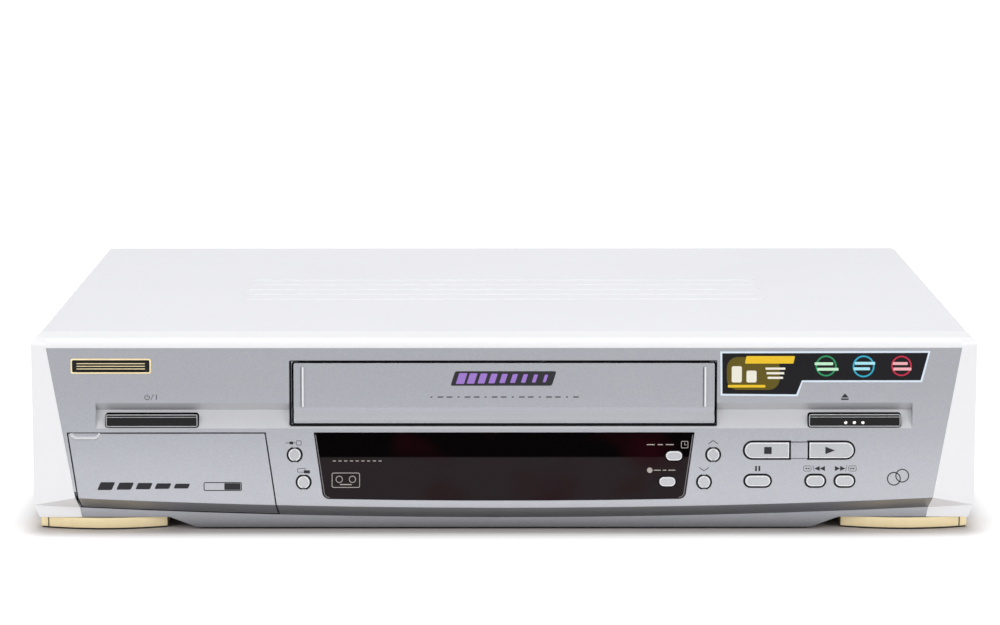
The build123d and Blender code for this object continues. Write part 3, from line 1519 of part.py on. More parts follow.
# ---------------------------------------------------------------- loading cam, worm and motor
with BuildPart() as cam_gear:
    with BuildSketch(Plane.XY.offset(cam_low)):
        with Locations(spot(*cam_centre)[:2]):
            Circle(cam_r - cam_tooth[0] / 2)
            with PolarLocations(cam_r - cam_tooth[0] / 2, 48):
                Rectangle(*cam_tooth)
            Circle(arm_post_r + turn_play, mode=Mode.SUBTRACT)
    extrude(amount=cam_wall)
    # the cam track in its upper side
    with BuildSketch(Plane.XY.offset(cam_low + cam_wall - cam_track_depth)):
        with Locations(spot(cam_centre[0] + cam_throw, cam_centre[1])[:2]):
            Circle(cam_track_r)
            Circle(cam_track_r - cam_track_wide, mode=Mode.SUBTRACT)
    extrude(amount=cam_track_depth, mode=Mode.SUBTRACT)
keep(cam_gear, "cam_gear")

worm_x = cam_centre[0] - cam_r - worm_r - worm_gap
worm_height = cam_low + cam_wall / 2
worm_front = cam_centre[1] - worm_length / 2
motor_front = worm_front + worm_length + worm_shaft_bare
with BuildPart() as loading_worm:
    with BuildSketch(skirt_plane.offset(-motor_front - worm_shaft_in)):
        with Locations((worm_x, worm_height)):
            Circle(worm_shaft_r)
    extrude(amount=worm_length + worm_shaft_bare + worm_shaft_in)
    for index in range(int(worm_length / worm_rib)):
        with BuildSketch(skirt_plane.offset(-worm_front - index * worm_rib)):
            with Locations((worm_x, worm_height)):
                Circle(worm_r if index % 2 == 0 else worm_r - worm_groove)
        extrude(amount=-worm_rib)
keep(loading_worm, "loading_worm")

with BuildPart() as loading_motor:
    with BuildSketch(skirt_plane.offset(-motor_front)):
        with Locations((worm_x, worm_height)):
            Circle(loading_motor_r)
    extrude(amount=-loading_motor_long)
    with BuildSketch(skirt_plane.offset(-motor_front)):
        with Locations((worm_x, worm_height)):
            Circle(worm_shaft_r + turn_play)
    extrude(amount=-worm_shaft_in - seam, mode=Mode.SUBTRACT)
    # strap up to the deck
    with Locations(spot(worm_x, motor_front + motor_strap[1], worm_height)):
        Box(*motor_strap, deck_height - worm_height, align=(Align.CENTER, Align.CENTER, Align.MIN))
keep(loading_motor, "loading_motor")

# ---------------------------------------------------------------- cassette carriage and its brackets
slot_wide = 2 * (carriage_pin_r + slot_play)
with BuildPart() as loader_brackets:
    for side in (-1, 1):
        with BuildSketch(Plane.YZ.offset(side * bracket_x)):
            with Locations((back_of((bracket_front + bracket_back) / 2), (deck_top + bracket_top) / 2)):
                Rectangle(bracket_back - bracket_front, bracket_top - deck_top)
        extrude(amount=side * bracket_wall)
    # an L-shaped slot for each pin: forward along the top, then straight down at its back end
    with BuildSketch(Plane.YZ):
        for pin in carriage_pins:
            with Locations((back_of(pin - carriage_travel / 2), pin_height)):
                SlotOverall(carriage_travel + slot_wide, slot_wide)
            with Locations((back_of(pin), pin_height - carriage_drop / 2)):
                SlotOverall(carriage_drop + slot_wide, slot_wide, rotation=90)
    extrude(amount=2 * bracket_x, both=True, mode=Mode.SUBTRACT)
    with BuildSketch(Plane.XY.offset(bracket_top - tie_wall)):
        for depth in (bracket_front + tie_wide, bracket_back - tie_wide):
            with Locations((0, back_of(depth))):
                Rectangle(2 * bracket_x + bracket_wall, tie_wide)
    extrude(amount=tie_wall)
keep(loader_brackets, "loader_brackets")

# plates outside the brackets that draw the carriage in by its pins, joined by a bar over the top
slide_middle = sum(carriage_pins) / 2
with BuildPart() as loader_slide:
    for side in (-1, 1):
        with BuildSketch(Plane.YZ.offset(side * slide_x)):
            with Locations((back_of(slide_middle), pin_height - carriage_drop / 2)):
                RectangleRounded(
                    carriage_pins[1] - carriage_pins[0] + 2 * slide_margin, carriage_drop + 2 * slide_margin,
                    slide_round,
                )
            with Locations((back_of(slide_middle), pin_height)):
                Rectangle(slide_bar, slide_top - pin_height, align=(Align.CENTER, Align.MIN))
            with Locations([(back_of(pin), pin_height - carriage_drop / 2) for pin in carriage_pins]):
                SlotOverall(carriage_drop + slot_wide, slot_wide, rotation=90, mode=Mode.SUBTRACT)
        extrude(amount=side * slide_wall)
    with BuildSketch(Plane.XY.offset(slide_top - slide_wall)):
        with Locations((0, back_of(slide_middle))):
            Rectangle(2 * (slide_x + slide_wall), slide_bar)
    extrude(amount=slide_wall)
keep(loader_slide, "loader_slide")

with BuildPart() as cassette_carriage:
    with BuildSketch(Plane.XY.offset(bay_low - carriage_wall)):
        with Locations((0, back_of(carriage_front + carriage_length / 2))):
            Rectangle(2 * (cassette_half + carriage_wall), carriage_length)
    extrude(amount=bay_high - bay_low + 2 * carriage_wall)
    with BuildSketch(Plane.XY.offset(bay_low)):
        with Locations((0, back_of(carriage_front + carriage_length / 2))):
            Rectangle(2 * cassette_half, carriage_length + 2)
    extrude(amount=bay_high - bay_low, mode=Mode.SUBTRACT)
    # the floor is open between the ledges, so that the reel tables reach the cassette
    with BuildSketch(Plane.XY.offset(bay_low - 2 * carriage_wall)):
        with Locations((0, back_of(carriage_front + sill))):
            Rectangle(2 * (cassette_half - ledge), carriage_length, align=(Align.CENTER, Align.MIN))
    extrude(amount=3 * carriage_wall, mode=Mode.SUBTRACT)
    with BuildSketch(Plane.XY.offset(bay_high)):
        with Locations((0, back_of(carriage_front + window_at))):
            with GridLocations(window_pitch, 1, 3, 1):
                RectangleRounded(*window_size, window_round)
    extrude(amount=2 * carriage_wall, mode=Mode.SUBTRACT)
    with BuildSketch(Plane.YZ):
        for pin in carriage_pins:
            with Locations((back_of(pin), pin_height)):
                Circle(carriage_pin_r)
    extrude(amount=slide_x + slide_wall + pin_proud, both=True)
    with BuildSketch(Plane.XY.offset(bay_low)):
        with Locations((0, back_of(carriage_front + carriage_length / 2))):
            Rectangle(2 * cassette_half, carriage_length + 2)
    extrude(amount=bay_high - bay_low, mode=Mode.SUBTRACT)
keep(cassette_carriage, "cassette_carriage")

# leaf springs under the carriage's roof, bowed down between their ends
spring_x = 46.0
spring_front, spring_back = 4.0, 48.0  # behind the carriage's front
spring_flat = 16.0
spring_wall = 0.4
spring_bow = 0.8
spring_wide = 6.0
bow_front = carriage_front + spring_front + spring_flat
bow_middle = (bow_front + carriage_front + spring_back) / 2
leaf = [
    (carriage_front + spring_front, 0), (bow_front, 0), (bow_middle, spring_bow),
    (carriage_front + spring_back, 0),
]
with BuildPart() as cassette_springs:
    for x in (-spring_x, spring_x):
        with BuildSketch(Plane.YZ.offset(x)):
            with BuildLine():
                Polyline(
                    *[(back_of(depth), bay_high - drop) for depth, drop in leaf],
                    *[(back_of(depth), bay_high - drop - spring_wall) for depth, drop in reversed(leaf)],
                    close=True,
                )
            make_face()
        extrude(amount=spring_wide / 2, both=True)
keep(cassette_springs, "cassette_springs")

# ---------------------------------------------------------------- files
os.makedirs("parts", exist_ok=True)
for name, part in pieces.items():
    export_step(part, f"parts/{name}.step")
    print(name, len(part.solids()), round(part.volume), part.is_valid)
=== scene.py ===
import bpy
import bmesh
import json
import math
import numpy as np
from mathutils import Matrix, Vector


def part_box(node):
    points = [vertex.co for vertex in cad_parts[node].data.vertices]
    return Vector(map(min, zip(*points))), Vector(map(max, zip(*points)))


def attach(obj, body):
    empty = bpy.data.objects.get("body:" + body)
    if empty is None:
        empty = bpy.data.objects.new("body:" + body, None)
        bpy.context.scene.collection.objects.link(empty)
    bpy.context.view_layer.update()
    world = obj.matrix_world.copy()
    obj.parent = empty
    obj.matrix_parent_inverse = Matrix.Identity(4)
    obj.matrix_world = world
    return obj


# A video cassette recorder: finishes for its CAD pieces, and the prints, pins and trims that they carry.
# Shapes are written in millimetres and turned to metres when they are placed.
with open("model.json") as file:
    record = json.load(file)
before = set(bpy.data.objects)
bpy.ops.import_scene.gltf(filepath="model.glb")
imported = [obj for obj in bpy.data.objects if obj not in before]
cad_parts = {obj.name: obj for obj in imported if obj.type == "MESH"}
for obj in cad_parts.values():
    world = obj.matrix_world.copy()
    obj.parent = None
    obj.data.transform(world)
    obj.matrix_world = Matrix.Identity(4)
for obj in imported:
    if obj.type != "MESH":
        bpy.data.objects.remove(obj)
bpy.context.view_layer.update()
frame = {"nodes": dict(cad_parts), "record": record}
nodes = frame["nodes"]
mm = 0.001

# the leaning face, counted from the skirt under it
face = {
    "coverBack": 291.7,  # skirt to the cover's back edge
    "panel": 290.2,  # skirt to the rear panel's outer side
    "top": 84.6, "topReach": 2.9,  # height of the face's upper edge, and how far it stands before the skirt
    "foot": 16.4, "footReach": 7.8,
}
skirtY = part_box("top_cover")[1].y / mm - face["coverBack"]
faceSlope = (face["footReach"] - face["topReach"]) / (face["top"] - face["foot"])
lean = math.atan(faceSlope)


def onFace(u, v, lift):
    # x is u; y follows the face's line at height v; lift goes out along the face's normal
    y = skirtY - face["topReach"] - (face["top"] - v) * faceSlope - lift * math.cos(lean)
    return np.stack([u, y, v + lift * math.sin(lean)], -1) * mm


def liftedFace(base):
    # the same, from a surface that stands base off the face
    return lambda u, v, lift: onFace(u, v, lift + base)


def onRear(depth):
    # an upright plane that looks backwards, depth behind the skirt: lift goes to +Y
    return lambda u, v, lift: np.stack([u, skirtY + depth + lift, v], -1) * mm


# --- meshes
def patch(outline):
    # a flat area: its outline carried from h = 0 to h = 1, with both ends closed
    ring = np.asarray(outline, float)
    n = len(ring)
    points = np.concatenate([np.column_stack([ring, np.zeros(n)]), np.column_stack([ring, np.ones(n)])])
    k = np.arange(n)
    sides = np.column_stack([k, (k + 1) % n, (k + 1) % n + n, k + n])
    return points, [*sides.tolist(), list(range(n - 1, -1, -1)), list(range(n, 2 * n))]


def ribbon(path, width, closed=False):
    # a stroke: at each point of the path the two edges lie half a width along the mitred normal
    path = np.asarray(path, float)
    n = len(path)
    ahead = np.roll(path, -1, 0) - path
    behind = path - np.roll(path, 1, 0)
    if not closed:
        ahead[-1], behind[0] = behind[-1], ahead[0]
    a = ahead / np.linalg.norm(ahead, axis=1, keepdims=True)
    b = behind / np.linalg.norm(behind, axis=1, keepdims=True)
    normal = np.column_stack([-(a + b)[:, 1], (a + b)[:, 0]])
    normal /= np.linalg.norm(normal, axis=1, keepdims=True)
    cosine = np.clip((normal * np.column_stack([-b[:, 1], b[:, 0]])).sum(1, keepdims=True), 0.4, 1)
    shift = normal / cosine * width / 2
    left, right = path + shift, path - shift
    low, high = np.zeros(n), np.ones(n)
    points = np.concatenate([
        np.column_stack([left, low]), np.column_stack([right, low]),
        np.column_stack([right, high]), np.column_stack([left, high]),
    ])
    k = np.arange(n if closed else n - 1)
    j = (k + 1) % n
    faces = []
    for one in range(4):
        two = (one + 1) % 4
        faces += np.column_stack([k + one * n, j + one * n, j + two * n, k + two * n]).tolist()
    if not closed:
        faces += [[0, n, 2 * n, 3 * n], [n - 1, 4 * n - 1, 3 * n - 1, 2 * n - 1]]
    return points, faces


def arc(cx, cy, radius, start, end, steps=24):
    # points at equal angles from start to end, in degrees, on a circle
    t = np.radians(np.linspace(start, end, steps))
    return np.column_stack([cx + radius * np.cos(t), cy + radius * np.sin(t)])


def circle(cx, cy, radius, steps=40):
    return arc(cx, cy, radius, 0, 360, steps + 1)[:-1]


def roundedBox(cx, cy, wide, tall, radius, slant=0.0):
    # four quarter arcs joined by straight sides; slant moves a point across by its height times slant
    corners = [(1, 1, 0), (-1, 1, 90), (-1, -1, 180), (1, -1, 270)]
    ring = np.concatenate([
        arc(sx * (wide / 2 - radius), sy * (tall / 2 - radius), radius, turn, turn + 90, 7)
        for sx, sy, turn in corners
    ])
    ring[:, 0] += ring[:, 1] * slant
    return ring + (cx, cy)


def finishMesh(name, points, faces, material, body, slot):
    # a piece from its points and faces, with its normals turned outwards, riding on a body
    mesh = bpy.data.meshes.new(name)
    mesh.from_pydata(points.tolist(), [], faces)
    work = bmesh.new()
    work.from_mesh(mesh)
    bmesh.ops.recalc_face_normals(work, faces=work.faces)
    work.to_mesh(mesh)
    work.free()
    mesh.materials.append(material)
    piece = bpy.data.objects.new(name, mesh)
    bpy.context.scene.collection.objects.link(piece)
    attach(piece, body)
    return piece


def printed(name, shapes, place, thick, material, body, slot, sink=0.02):
    # every shape's third number runs from 0, sunk a little, to 1, the ink's top
    points, faces, start = [], [], 0
    for ring, sides in shapes:
        points.append(place(ring[:, 0], ring[:, 1], ring[:, 2] * (thick + sink) - sink))
        faces += [[i + start for i in side] for side in sides]
        start += len(ring)
    return finishMesh(name, np.concatenate(points), faces, material, body, slot)


def grid(rows, columns, closedRows=False, closedColumns=False):
    # the quads of a grid of points numbered row by row
    i = np.arange(rows if closedRows else rows - 1)[:, None]
    j = np.arange(columns if closedColumns else columns - 1)[None, :]
    i2, j2 = (i + 1) % rows, (j + 1) % columns
    corners = [i * columns + j, i * columns + j2, i2 * columns + j2, i2 * columns + j]
    return np.stack(corners, -1).reshape(-1, 4).tolist()


def sheet(layers):
    # two grids of points, one behind the other, closed along their edges into one thin solid
    rows, columns = layers[0].shape[:2]
    total = rows * columns
    front = np.array(grid(rows, columns))
    ids = np.arange(total).reshape(rows, columns)
    rim = np.concatenate([ids[0, :-1], ids[:-1, -1], ids[-1, :0:-1], ids[:0:-1, 0]])
    edge = np.stack([rim, np.roll(rim, -1), np.roll(rim, -1) + total, rim + total], -1)
    faces = front.tolist() + (front[:, ::-1] + total).tolist() + edge.tolist()
    return np.concatenate([layer.reshape(-1, 3) for layer in layers]), faces


# --- finishes
def finish(name, colour, roughness, metallic=0.0, specular=0.5, coat=0.0):
    # a material with its shader's plain values set; place is a point in the object's own metres
    material = bpy.data.materials.new(name)
    material.use_nodes = True
    tree = material.node_tree
    shader = tree.nodes["Principled BSDF"]
    shader.inputs["Base Color"].default_value = (*colour, 1)
    shader.inputs["Roughness"].default_value = roughness
    shader.inputs["Metallic"].default_value = metallic
    shader.inputs["Specular IOR Level"].default_value = specular
    shader.inputs["Coat Weight"].default_value = coat
    place = tree.nodes.new("ShaderNodeTexCoord").outputs["Object"]
    return material, tree, shader, place


def noise(tree, place, scale, detail=3.0, rough=0.55, stretch=(1, 1, 1)):
    # cloudy noise with about scale lumps to the metre, closer together along an axis with a larger stretch
    turn = tree.nodes.new("ShaderNodeMapping")
    turn.inputs["Scale"].default_value = stretch
    tree.links.new(place, turn.inputs["Vector"])
    node = tree.nodes.new("ShaderNodeTexNoise")
    node.inputs["Scale"].default_value = scale
    node.inputs["Detail"].default_value = detail
    node.inputs["Roughness"].default_value = rough
    tree.links.new(turn.outputs["Vector"], node.inputs["Vector"])
    return node.outputs["Fac"]


def cells(tree, place, scale, feature="F1", output="Distance"):
    # scattered cells, about scale of them to the metre
    node = tree.nodes.new("ShaderNodeTexVoronoi")
    node.feature = feature
    node.inputs["Scale"].default_value = scale
    tree.links.new(place, node.inputs["Vector"])
    return node.outputs[output]


def remap(tree, value, low, high, toLow, toHigh):
    # a straight line from (low, toLow) to (high, toHigh), level beyond its ends
    node = tree.nodes.new("ShaderNodeMapRange")
    for socket, number in (("From Min", low), ("From Max", high), ("To Min", toLow), ("To Max", toHigh)):
        node.inputs[socket].default_value = number
    tree.links.new(value, node.inputs["Value"])
    return node.outputs["Result"]


def mixed(tree, factor, first, second):
    # first where the factor is 0, second where it is 1; each may be a number, a colour or a socket
    node = tree.nodes.new("ShaderNodeMix")
    node.data_type = "RGBA"
    for socket, value in ((node.inputs[0], factor), (node.inputs[6], first), (node.inputs[7], second)):
        if isinstance(value, bpy.types.NodeSocket):
            tree.links.new(value, socket)
        elif isinstance(value, tuple):
            socket.default_value = (*value, 1)
        else:
            socket.default_value = value
    return node.outputs[2]


def maths(tree, operation, first, second):
    node = tree.nodes.new("ShaderNodeMath")
    node.operation = operation
    for socket, value in zip(node.inputs, (first, second)):
        if isinstance(value, bpy.types.NodeSocket):
            tree.links.new(value, socket)
        else:
            socket.default_value = value
    return node.outputs[0]


def height(tree, place):
    # how far a point stands over the table
    split = tree.nodes.new("ShaderNodeSeparateXYZ")
    tree.links.new(place, split.inputs[0])
    return split.outputs["Z"]


def relief(tree, shader, value, distance, strength=1.0, edge=0.0):
    # bump from a height value; edge rounds the look of sharp corners by that radius first
    bump = tree.nodes.new("ShaderNodeBump")
    bump.inputs["Strength"].default_value = strength
    bump.inputs["Distance"].default_value = distance
    tree.links.new(value, bump.inputs["Height"])
    if edge:
        corner = tree.nodes.new("ShaderNodeBevel")
        corner.samples = 4
        corner.inputs["Radius"].default_value = edge
        tree.links.new(corner.outputs["Normal"], bump.inputs["Normal"])
    tree.links.new(bump.outputs["Normal"], shader.inputs["Normal"])


def creviceShade(tree, colour, reach=0.008):
    # painted shade: nearly black in a narrow gap, and a little darker wherever the surface is hemmed in
    shade = tree.nodes.new("ShaderNodeAmbientOcclusion")
    shade.samples = 8
    shade.inputs["Distance"].default_value = reach
    gap = remap(tree, shade.outputs["AO"], 0.05, 0.2, 0.0, 1.0)
    hem = remap(tree, shade.outputs["AO"], 0.2, 0.6, 0.62, 1.0)
    return mixed(tree, maths(tree, "MULTIPLY", gap, hem), (0.010, 0.010, 0.010), colour)


def moulded(name, colour, roughness, metallic=0.0, specular=0.5, grain=1500.0, depth=0.00004, edge=0.0003,
            mottle=0.03, coat=0.0, shadeCrevices=False):
    # plastic or paint: a fine grain, a slow drift of shade and roughness, and softened edges
    material, tree, shader, place = finish(name, colour, roughness, metallic, specular, coat)
    drift = noise(tree, place, 9.0, 4.0)
    dark = tuple(c * (1 - mottle) for c in colour)
    light = tuple(min(1.0, c * (1 + mottle)) for c in colour)
    tone = mixed(tree, drift, dark, light)
    # optionally, painted shade darkens the colour in gaps and hemmed-in places
    tree.links.new(creviceShade(tree, tone) if shadeCrevices else tone, shader.inputs["Base Color"])
    fine = noise(tree, place, grain, 2.0)
    tree.links.new(remap(tree, fine, 0.3, 0.7, roughness * 0.88, roughness * 1.12), shader.inputs["Roughness"])
    relief(tree, shader, fine, depth, 0.6, edge)
    return material


def silverPaint(name="silverPaint", base=(0.292, 0.300, 0.334), flake=(0.36, 0.37, 0.405), edge=0.0003):
    # metallic paint: bright flakes in a grey base under a thin lacquer, with faint handling marks in the gloss
    look = {
        "flakes": 3200.0, "metallic": 0.7, "worn": (0.42, 0.42, 0.43), "lacquer": 0.5,
        "dust": (0.76, 0.76, 0.78), "dustyAndLit": 0.85, "ceiling": (0.46, 0.465, 0.49), "undercut": (0.20, 0.20, 0.205),
        "shade": (0.02, 0.02, 0.02), "pale": (0.85, 0.85, 0.88),
    }
    material, tree, shader, place = finish(name, base, 0.4, look["metallic"], 0.5, look["lacquer"])
    shader.inputs["Coat Roughness"].default_value = 0.22
    flakes = cells(tree, place, look["flakes"], output="Color")
    split = tree.nodes.new("ShaderNodeSeparateColor")
    tree.links.new(flakes, split.inputs[0])
    drift = noise(tree, place, 7.0, 3.0)
    speck = remap(tree, split.outputs[0], 0.0, 1.0, 0.15, 0.85)
    tone = mixed(tree, speck, base, flake)
    tone = mixed(tree, remap(tree, drift, 0.3, 0.7, 0.0, 0.14), tone, look["worn"])
    # painted shade and light: the paint is a shade deeper towards the top of the face and paler at its foot, and
    # painted shade makes it much darker on the skirt near the table
    level = height(tree, place)
    tone = mixed(tree, remap(tree, level, 30 * mm, 66 * mm, 0.0, 0.13), tone, look["shade"])
    tone = mixed(tree, remap(tree, level, 17 * mm, 45 * mm, 0.08, 0.0), tone, look["pale"])
    tone = mixed(tree, remap(tree, level, 2 * mm, 14.0 * mm, 0.52, 0.0), tone, look["shade"])
    # fine dust and painted light on what faces up: such faces are paler
    way = tree.nodes.new("ShaderNodeSeparateXYZ")
    tree.links.new(tree.nodes.new("ShaderNodeNewGeometry").outputs["Normal"], way.inputs[0])
    upFacingDustAndLight = remap(tree, way.outputs["Z"], 0.15, 0.62, 0.0, look["dustyAndLit"])
    # painted shade: the groove's ceiling, which faces down, gets a flat tone of its own, a little paler than the
    # face, and the undercut at the foot is painted darker
    under = remap(tree, way.outputs["Z"], -0.3, -0.6, 0.0, 1.0)
    groove = remap(tree, level, 30 * mm, 40 * mm, 0.0, 1.0)
    ceiling = maths(tree, "MULTIPLY", under, groove)
    tone = mixed(tree, ceiling, tone, look["ceiling"])
    shade = maths(tree, "MULTIPLY", under, maths(tree, "SUBTRACT", 1.0, groove))
    tone = mixed(tree, maths(tree, "MULTIPLY", shade, 0.35), tone, look["undercut"])
    # painted shade darkens the paint in gaps and hemmed-in places
    tree.links.new(creviceShade(tree, mixed(tree, upFacingDustAndLight, tone, look["dust"])), shader.inputs["Base Color"])
    matte = maths(tree, "MAXIMUM", upFacingDustAndLight, ceiling)
    tree.links.new(remap(tree, matte, 0.0, 1.0, look["metallic"], 0.0), shader.inputs["Metallic"])
    marks = noise(tree, place, 60.0, 5.0, 0.65, (1, 1, 4))
    tree.links.new(remap(tree, marks, 0.35, 0.7, 0.29, 0.37), shader.inputs["Roughness"])
    relief(tree, shader, split.outputs[1], 0.000012, 0.5, edge)
    return material


def coverPaint():
    # powder coat: a close orange-peel texture, with a few tiny specks of dust in it
    look = {"base": (0.80, 0.80, 0.835), "peel": 620.0, "depth": 0.00007}
    material, tree, shader, place = finish("coverPaint", look["base"], 0.42)
    drift = noise(tree, place, 5.0, 3.0)
    tone = mixed(tree, remap(tree, drift, 0.3, 0.7, 0.0, 1.0), look["base"], (0.83, 0.83, 0.86))
    dust = remap(tree, cells(tree, place, 45.0), 0.012, 0.02, 1.0, 0.0)
    tree.links.new(mixed(tree, dust, tone, (0.55, 0.50, 0.44)), shader.inputs["Base Color"])
    peel = noise(tree, place, look["peel"], 3.0, 0.6)
    tree.links.new(remap(tree, peel, 0.3, 0.7, 0.36, 0.5), shader.inputs["Roughness"])
    relief(tree, shader, peel, look["depth"], 0.7, 0.0005)
    return material


def smokedLens():
    # smoked window: nearly black above, a shade lighter below, with faint red shapes of the display behind it
    look = {
        "split": 34.9, "upper": (0.0008, 0.0002, 0.0004), "lower": (0.0235, 0.0180, 0.0195),
        "red": (0.022, 0.001, 0.004),
    }
    material, tree, shader, place = finish("smokedLens", look["lower"], 0.07, 0.0, 0.01)
    level = remap(tree, height(tree, place), (look["split"] - 0.3) * mm, (look["split"] + 0.3) * mm, 0.0, 1.0)
    shapes = noise(tree, place, 26.0, 1.5, 0.4, (1, 1, 1.6))
    glow = remap(tree, shapes, 0.52, 0.72, 0.0, 0.55)
    tone = mixed(tree, level, look["lower"], look["upper"])
    tree.links.new(mixed(tree, glow, tone, look["red"]), shader.inputs["Base Color"])
    dust = noise(tree, place, 300.0, 4.0, 0.7)
    tree.links.new(remap(tree, dust, 0.4, 0.75, 0.05, 0.14), shader.inputs["Roughness"])
    relief(tree, shader, dust, 0.000003, 0.3, 0.0004)
    return material


def goldTrim():
    # pale gold lacquer, with upright hairlines
    look = {"base": (0.86, 0.71, 0.40), "pale": (0.93, 0.80, 0.52)}
    material, tree, shader, place = finish("goldTrim", look["base"], 0.36, 0.45)
    lines = noise(tree, place, 260.0, 4.0, 0.6, (1, 1, 0.05))
    tree.links.new(mixed(tree, lines, look["base"], look["pale"]), shader.inputs["Base Color"])
    tree.links.new(remap(tree, lines, 0.3, 0.7, 0.3, 0.42), shader.inputs["Roughness"])
    relief(tree, shader, lines, 0.00002, 0.4, 0.0003)
    return material


def platedSteel(name="zincSteel", colour=(0.60, 0.61, 0.61), roughness=0.34, scale=120.0):
    # zinc plate: faint crystals of unequal shade and fine rolling lines
    material, tree, shader, place = finish(name, colour, roughness, 0.9)
    flakes = cells(tree, place, scale, output="Color")
    split = tree.nodes.new("ShaderNodeSeparateColor")
    tree.links.new(flakes, split.inputs[0])
    tone = mixed(tree, split.outputs[0], tuple(c * 0.88 for c in colour), tuple(min(1, c * 1.1) for c in colour))
    tree.links.new(tone, shader.inputs["Base Color"])
    lines = noise(tree, place, 900.0, 2.0, 0.5, (1, 0.08, 1))
    tree.links.new(remap(tree, lines, 0.3, 0.7, roughness * 0.8, roughness * 1.25), shader.inputs["Roughness"])
    relief(tree, shader, lines, 0.00001, 0.5, 0.0002)
    return material


def turnedMetal(name, colour, roughness):
    # lathe-turned metal: fine rings, seen as a stretched noise
    material, tree, shader, place = finish(name, colour, roughness, 1.0)
    rings = noise(tree, place, 1500.0, 3.0, 0.5, (0.05, 0.05, 1))
    tree.links.new(remap(tree, rings, 0.3, 0.7, roughness * 0.7, roughness * 1.4), shader.inputs["Roughness"])
    tree.links.new(mixed(tree, rings, tuple(c * 0.93 for c in colour), colour), shader.inputs["Base Color"])
    relief(tree, shader, rings, 0.000008, 0.4, 0.0002)
    return material


def circuitBoard():
    # paper board with a green resist and a web of lighter tracks
    look = {"board": (0.03, 0.14, 0.06), "track": (0.09, 0.26, 0.10)}
    material, tree, shader, place = finish("circuitBoard", look["board"], 0.35)
    web = remap(tree, cells(tree, place, 160.0, "DISTANCE_TO_EDGE"), 0.06, 0.12, 1.0, 0.0)
    tree.links.new(mixed(tree, web, look["board"], look["track"]), shader.inputs["Base Color"])
    relief(tree, shader, web, 0.00003, 0.5)
    return material


finishes = {
    # the white plastic gets painted shade in its gaps and hemmed-in places
    "white_plastic": moulded("whitePlastic", (0.875, 0.875, 0.89), 0.38, grain=1300.0, shadeCrevices=True),
    "silver_plastic": silverPaint(),
    "white_paint": coverPaint(),
    "rear_paint": moulded("rearPaint", (0.66, 0.66, 0.67), 0.45, 0.2, grain=800.0, depth=0.00006),
    "smoked_lens": smokedLens(),
    "display_glass": moulded("displayGlass", (0.04, 0.06, 0.055), 0.1, grain=300.0, depth=0.000004),
    "dark_bar": moulded(
        "darkBar", (0.006, 0.006, 0.007), 0.1, specular=0.14, grain=500.0, depth=0.000004, mottle=0.2,
    ),
    "dark_plastic": moulded("darkPlastic", (0.035, 0.035, 0.04), 0.45, grain=1200.0),
    "black_plastic": moulded("blackPlastic", (0.022, 0.022, 0.024), 0.42, grain=1200.0),
    "gold_trim": goldTrim(),
    "foot_rubber": moulded("footRubber", (0.018, 0.018, 0.018), 0.75, specular=0.3, grain=900.0, depth=0.00012),
    "circuit_board": circuitBoard(),
    "component_black": moulded("componentBlack", (0.03, 0.03, 0.034), 0.4, grain=700.0, mottle=0.15),
    "transformer_iron": platedSteel("transformerIron", (0.22, 0.20, 0.18), 0.5, 60.0),
    "aluminium": turnedMetal("aluminium", (0.74, 0.74, 0.75), 0.36),
    "drum_aluminium": turnedMetal("drumAluminium", (0.80, 0.80, 0.81), 0.18),
    "tin_plate": platedSteel("tinPlate", (0.68, 0.69, 0.70), 0.28, 90.0),
    "nickel": turnedMetal("nickel", (0.76, 0.73, 0.68), 0.2),
    "screw_steel": platedSteel("screwSteel", (0.52, 0.52, 0.53), 0.35, 500.0),
    "zinc_steel": platedSteel(),
    "flywheel_steel": turnedMetal("flywheelSteel", (0.55, 0.55, 0.56), 0.25),
    "brass": turnedMetal("brass", (0.78, 0.60, 0.30), 0.3),
    "gear_plastic": moulded("gearPlastic", (0.78, 0.77, 0.71), 0.4, grain=900.0),
}
# the button caps are paler than the face round them, with a softer edge
capPaint = silverPaint("capPaint", (0.34, 0.345, 0.365), (0.41, 0.415, 0.435), 0.0009)
for part in frame["record"]["subparts"]:
    name, slot = part["node"], part["material_slot"]
    mesh = nodes[name].data
    mesh.materials.clear()
    mesh.materials.append(capPaint if name.endswith("_button") and slot == "silver_plastic" else finishes[slot])
print("finishes:", len(finishes))


def printInk(name, colour, roughness=0.55, specular=0.12):
    return moulded(name, colour, roughness, specular=specular, grain=2500.0, depth=0.000005, edge=0.0, mottle=0.08)


ink = printInk("darkInk", (0.030, 0.030, 0.034))
paleInk = printInk("paleInk", (0.46, 0.42, 0.39))
purpleInk = printInk("purpleInk", (0.34, 0.19, 0.60), 0.4, 0.3)
inkThick = 0.04


# --- marks on the front
def triangle(cx, cy, wide, tall, point):
    # point is +1 for a tip to the right and -1 for one to the left
    tip, base = cx + point * wide / 2, cx - point * wide / 2
    return [(base, cy - tall / 2), (tip, cy), (base, cy + tall / 2)]


